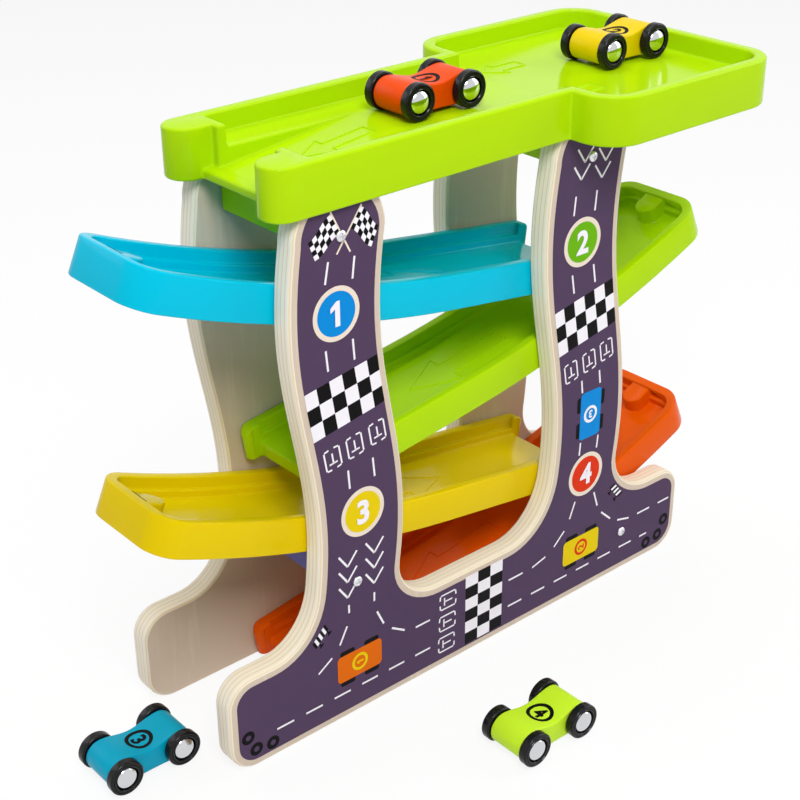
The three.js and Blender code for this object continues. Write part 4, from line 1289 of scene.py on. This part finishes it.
class RAMP_OT_cars(bpy.types.Operator):
    """Build the four cars with their axles and wheels."""
    bl_idname = "ramp.cars"
    bl_label = "Cars"

    def execute(self, context):
        sizes = settings("car")
        for number, (name, shade) in enumerate(CARS.items(), 1):
            low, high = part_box(name + "_body")
            centre = Vector(((low.x + high.x) / 2, (low.y + high.y) / 2, low.z + sizes.end_radius))
            self.shell(name, shade, centre, sizes)
            self.badge(name, str(number), centre, sizes)
            for end in ("front", "rear"):
                self.axle_set(name, end)
        return {"FINISHED"}

    def shell(self, name, shade, centre, sizes):
        half = sizes.wheelbase / 2
        radius = sizes.end_radius
        steps = 28
        outline = []
        for step in range(steps):
            x = -half + 2 * half * step / steps
            outline.append((x, -radius + sizes.arch * (1 - (x / half) ** 2)))
        outline += arc(half, 0, radius, -math.pi / 2, math.pi / 2, 24)
        for step in range(1, steps):
            x = half - 2 * half * step / steps
            outline.append((x, car_top(sizes, x)))
        outline += arc(-half, 0, radius, math.pi / 2, 1.5 * math.pi, 24)

        def place(a, b, t):
            return centre + Vector((a, t, b))

        body = piece(name + "_shell", prism(outline, place, -sizes.width / 2, sizes.width / 2))
        round_edges(body, sizes.edge_round, 4, 60)
        smooth(body)
        finish_piece(body, paint("car_" + shade), name, shade + "_wood", name + "_body")

    def badge(self, name, text, centre, sizes):
        """A ring and a digit painted on the dip of the top."""
        def drape(x, y):
            return centre + Vector((x, y, car_top(sizes, x) + sizes.badge_lift))

        made = bmesh.new()
        steps = 64
        rings = []
        for share in (0.72, 0.79, 0.86, 0.93, 1.0):
            ring = []
            for step in range(steps):
                spin = 2 * math.pi * step / steps
                radius = share * sizes.badge
                ring.append(made.verts.new(drape(radius * math.cos(spin), radius * math.sin(spin))))
            rings.append(ring)
        for inner, outer in zip(rings, rings[1:]):
            for step in range(steps):
                after = (step + 1) % steps
                made.faces.new((inner[step], outer[step], outer[after], inner[after]))
        points, faces = digit_mesh(text, 1.5 * sizes.badge)
        verts = [made.verts.new(drape(y, -x)) for x, y in points]
        for face in faces:
            made.faces.new([verts[index] for index in face])
        made.normal_update()
        bmesh.ops.reverse_faces(made, faces=[face for face in made.faces if face.normal.z < 0])
        body = piece(name + "_number", made)
        finish_piece(body, ink("print_black"), name, "wheel_plastic")

    def axle_set(self, name, end):
        carrier = f"{name}_{end}_axle_set"
        pin_low, pin_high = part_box(f"{name}_axle_{end}")
        cap_low, cap_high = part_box(f"{name}_hub_cap_{end}")
        hub = (pin_high.z - pin_low.z) / 2
        centre = Vector(((pin_low.x + pin_high.x) / 2, (pin_low.y + cap_high.y) / 2,
                         (pin_low.z + pin_high.z) / 2))
        out = cap_high.y - centre.y
        seat = cap_low.y - centre.y
        ring = 0.9 * MM
        dome = out - seat - ring
        steps = 12
        for side, node_name in ((-1, f"{name}_axle_{end}"), (1, f"{name}_hub_cap_{end}")):
            profile = [(0, out)]
            for step in range(1, steps + 1):
                lean = step / steps * math.pi / 2
                profile.append((hub * math.sin(lean), seat + ring + dome * math.cos(lean)))
            profile.append((hub, seat))
            if side < 0:
                core, end_of_core = 1.5 * MM, -seat - 1.2 * MM
            else:
                core, end_of_core = 1.6 * MM, seat + 1.6 * MM
            profile += [(core, seat), (core, end_of_core), (0, end_of_core)]
            body = lathe(node_name + "_chrome", profile, centre, 40, (0, side, 0))
            smooth(body)
            finish_piece(body, chrome(), carrier, "hub_chrome", node_name)
        for reach, side in (("near", -1), ("far", 1)):
            self.wheel(f"{name}_wheel_{end}_{reach}", carrier, side, hub)

    def wheel(self, node_name, carrier, side, hub):
        low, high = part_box(node_name)
        radius = (high.z - low.z) / 2
        width = high.y - low.y
        start = low.y if side > 0 else high.y
        centre = Vector(((low.x + high.x) / 2, start, (low.z + high.z) / 2))
        bore = 1.56 * MM
        shoulder = 0.9 * MM
        turn = radius - shoulder
        groove = 0.3 * MM
        recess = hub + groove
        back = 0.3 * MM
        web = 2.2 * MM
        profile = [(bore, back), (0.72 * radius, back)]
        profile += arc(turn, shoulder, shoulder, -math.pi / 2, 0, 8)
        profile += arc(turn, width - shoulder, shoulder, 0, math.pi / 2, 8)
        for share, sunk in ((0.86, 0), (0.84, groove), (0.8, groove), (0.78, 0)):
            profile.append((share * radius, width - sunk))
        profile += [(recess + groove, width), (recess, width - groove)]
        profile += [(recess, web), (bore, web), (bore, back)]
        body = lathe(node_name + "_tyre", profile, centre, 56, (0, side, 0))
        smooth(body)
        finish_piece(body, black_gloss(), carrier, "wheel_plastic", node_name)


# Studio

AIM_HEIGHT = 0.14
# Name, place from the aim, width and height, and power of each light
LIGHTS = (("key_light", (-0.58, -0.92, 1.25), (0.6, 0.6), 20),
          ("right_light", (1.15, -0.55, 0.6), (0.6, 1.0), 6.5),
          ("top_light", (0.1, 0.35, 1.3), (1.1, 0.8), 8),
          ("back_light", (-0.6, 1.2, 0.7), (0.9, 0.7), 3))
SKY_FILL = 0.2
FLOOR_GLOW = 0.87


def area_light(name, place, target, size, power):
    light = bpy.data.lights.new(name, "AREA")
    light.shape = "RECTANGLE"
    light.size, light.size_y = size
    light.energy = power
    lamp = bpy.data.objects.new(name, light)
    lamp.location = place
    lamp.rotation_euler = (Vector(target) - Vector(place)).to_track_quat("-Z", "Y").to_euler()
    bpy.context.scene.collection.objects.link(lamp)


class RAMP_OT_studio(bpy.types.Operator):
    """Set the floor, the lights and the camera."""
    bl_idname = "ramp.studio"
    bl_label = "Studio"

    def execute(self, context):
        stage = settings("stage")
        scene = context.scene
        scene.view_settings.view_transform = "Standard"
        self.floor()
        self.world(scene)
        aim = MIDDLE + Vector((0, 0, AIM_HEIGHT))
        for name, place, size, power in LIGHTS:
            area_light(name, aim + Vector(place), aim, size, power)
        lens = bpy.data.cameras.new("photo_camera")
        lens.lens = stage.lens
        lens.sensor_width = 36
        lens.clip_start = 0.02
        camera = bpy.data.objects.new("photo_camera", lens)
        camera.location = Vector((MIDDLE.x, FRONT_LOW.y, 0)) + Vector(stage.camera_from_panel)
        flat = math.cos(stage.elevation)
        ahead = Vector((math.sin(stage.azimuth) * flat, math.cos(stage.azimuth) * flat,
                        -math.sin(stage.elevation)))
        level = ahead.to_track_quat("-Z", "Y")
        camera.rotation_euler = (level @ Quaternion((0, 0, 1), stage.roll)).to_euler()
        scene.collection.objects.link(camera)
        scene.camera = camera
        return {"FINISHED"}

    def floor(self):
        made = bmesh.new()
        bmesh.ops.create_grid(made, x_segments=2, y_segments=2, size=6.0)
        ground = piece("studio_floor", made)
        ground.location.z = -0.0004
        paper = bpy.data.materials.new("studio_paper")
        paper.use_nodes = True
        tree = paper.node_tree
        shader = tree.nodes["Principled BSDF"]
        shader.inputs["Base Color"].default_value = (0.9, 0.9, 0.9, 1)
        shader.inputs["Roughness"].default_value = 0.7
        glow = node(tree, "ShaderNodeEmission")
        path = node(tree, "ShaderNodeLightPath")
        blend = node(tree, "ShaderNodeMixShader")
        shown = math_node(tree, "MULTIPLY", self.in_view(tree, path), FLOOR_GLOW)
        tree.links.new(shown, blend.inputs["Fac"])
        tree.links.new(shader.outputs["BSDF"], blend.inputs[1])
        tree.links.new(glow.outputs["Emission"], blend.inputs[2])
        tree.links.new(blend.outputs["Shader"], tree.nodes["Material Output"].inputs["Surface"])
        ground.data.materials.append(paper)

    def in_view(self, tree, path):
        """1 for what the camera sees, directly or mirrored, and 0 for light on the object."""
        mirrored = math_node(tree, "MAXIMUM", path.outputs["Is Camera Ray"], path.outputs["Is Glossy Ray"])
        return math_node(tree, "MAXIMUM", mirrored, path.outputs["Is Transmission Ray"])

    def world(self, scene):
        sky = bpy.data.worlds.new("studio_world")
        sky.use_nodes = True
        tree = sky.node_tree
        back = tree.nodes["Background"]
        back.inputs["Color"].default_value = (1, 1, 1, 1)
        path = node(tree, "ShaderNodeLightPath")
        seen = math_node(tree, "MULTIPLY", self.in_view(tree, path), 1 - SKY_FILL)
        tree.links.new(math_node(tree, "ADD", seen, SKY_FILL), back.inputs["Strength"])
        scene.world = sky


class RAMP_PT_builder(bpy.types.Panel):
    """Lists the steps that build the ramp racer."""
    bl_idname = "RAMP_PT_builder"
    bl_label = "Ramp racer"
    bl_space_type = "VIEW_3D"
    bl_region_type = "UI"
    bl_category = "Ramp racer"

    def draw(self, context):
        for step in STEPS:
            self.layout.operator(step.bl_idname)
        for part in GROUPS:
            sizes = settings(part)
            box = self.layout.box()
            for key in sizes.__annotations__:
                box.prop(sizes, key)


GROUPS = {"panel": RampPanelSizes, "tray": RampTraySizes, "track": RampTrackSizes, "car": RampCarSizes,
          "colours": RampColours, "stage": RampStageSizes}
STEPS = (RAMP_OT_panels, RAMP_OT_print, RAMP_OT_tray, RAMP_OT_tracks, RAMP_OT_braces, RAMP_OT_screws,
         RAMP_OT_cars, RAMP_OT_studio)


def register():
    for part, group in GROUPS.items():
        bpy.utils.register_class(group)
        setattr(bpy.types.Scene, "ramp_" + part, bpy.props.PointerProperty(type=group))
    for step in STEPS:
        bpy.utils.register_class(step)
    bpy.utils.register_class(RAMP_PT_builder)


def unregister():
    bpy.utils.unregister_class(RAMP_PT_builder)
    for step in reversed(STEPS):
        bpy.utils.unregister_class(step)
    for part, group in GROUPS.items():
        delattr(bpy.types.Scene, "ramp_" + part)
        bpy.utils.unregister_class(group)


def main():
    register()
    bpy.ops.ramp.studio()
    bpy.ops.ramp.panels()
    bpy.ops.ramp.print()
    bpy.ops.ramp.tray()
    bpy.ops.ramp.tracks()
    bpy.ops.ramp.braces()
    bpy.ops.ramp.screws()
    bpy.ops.ramp.cars()
    bpy.context.view_layer.update()


if __name__ == "__main__":
    main()
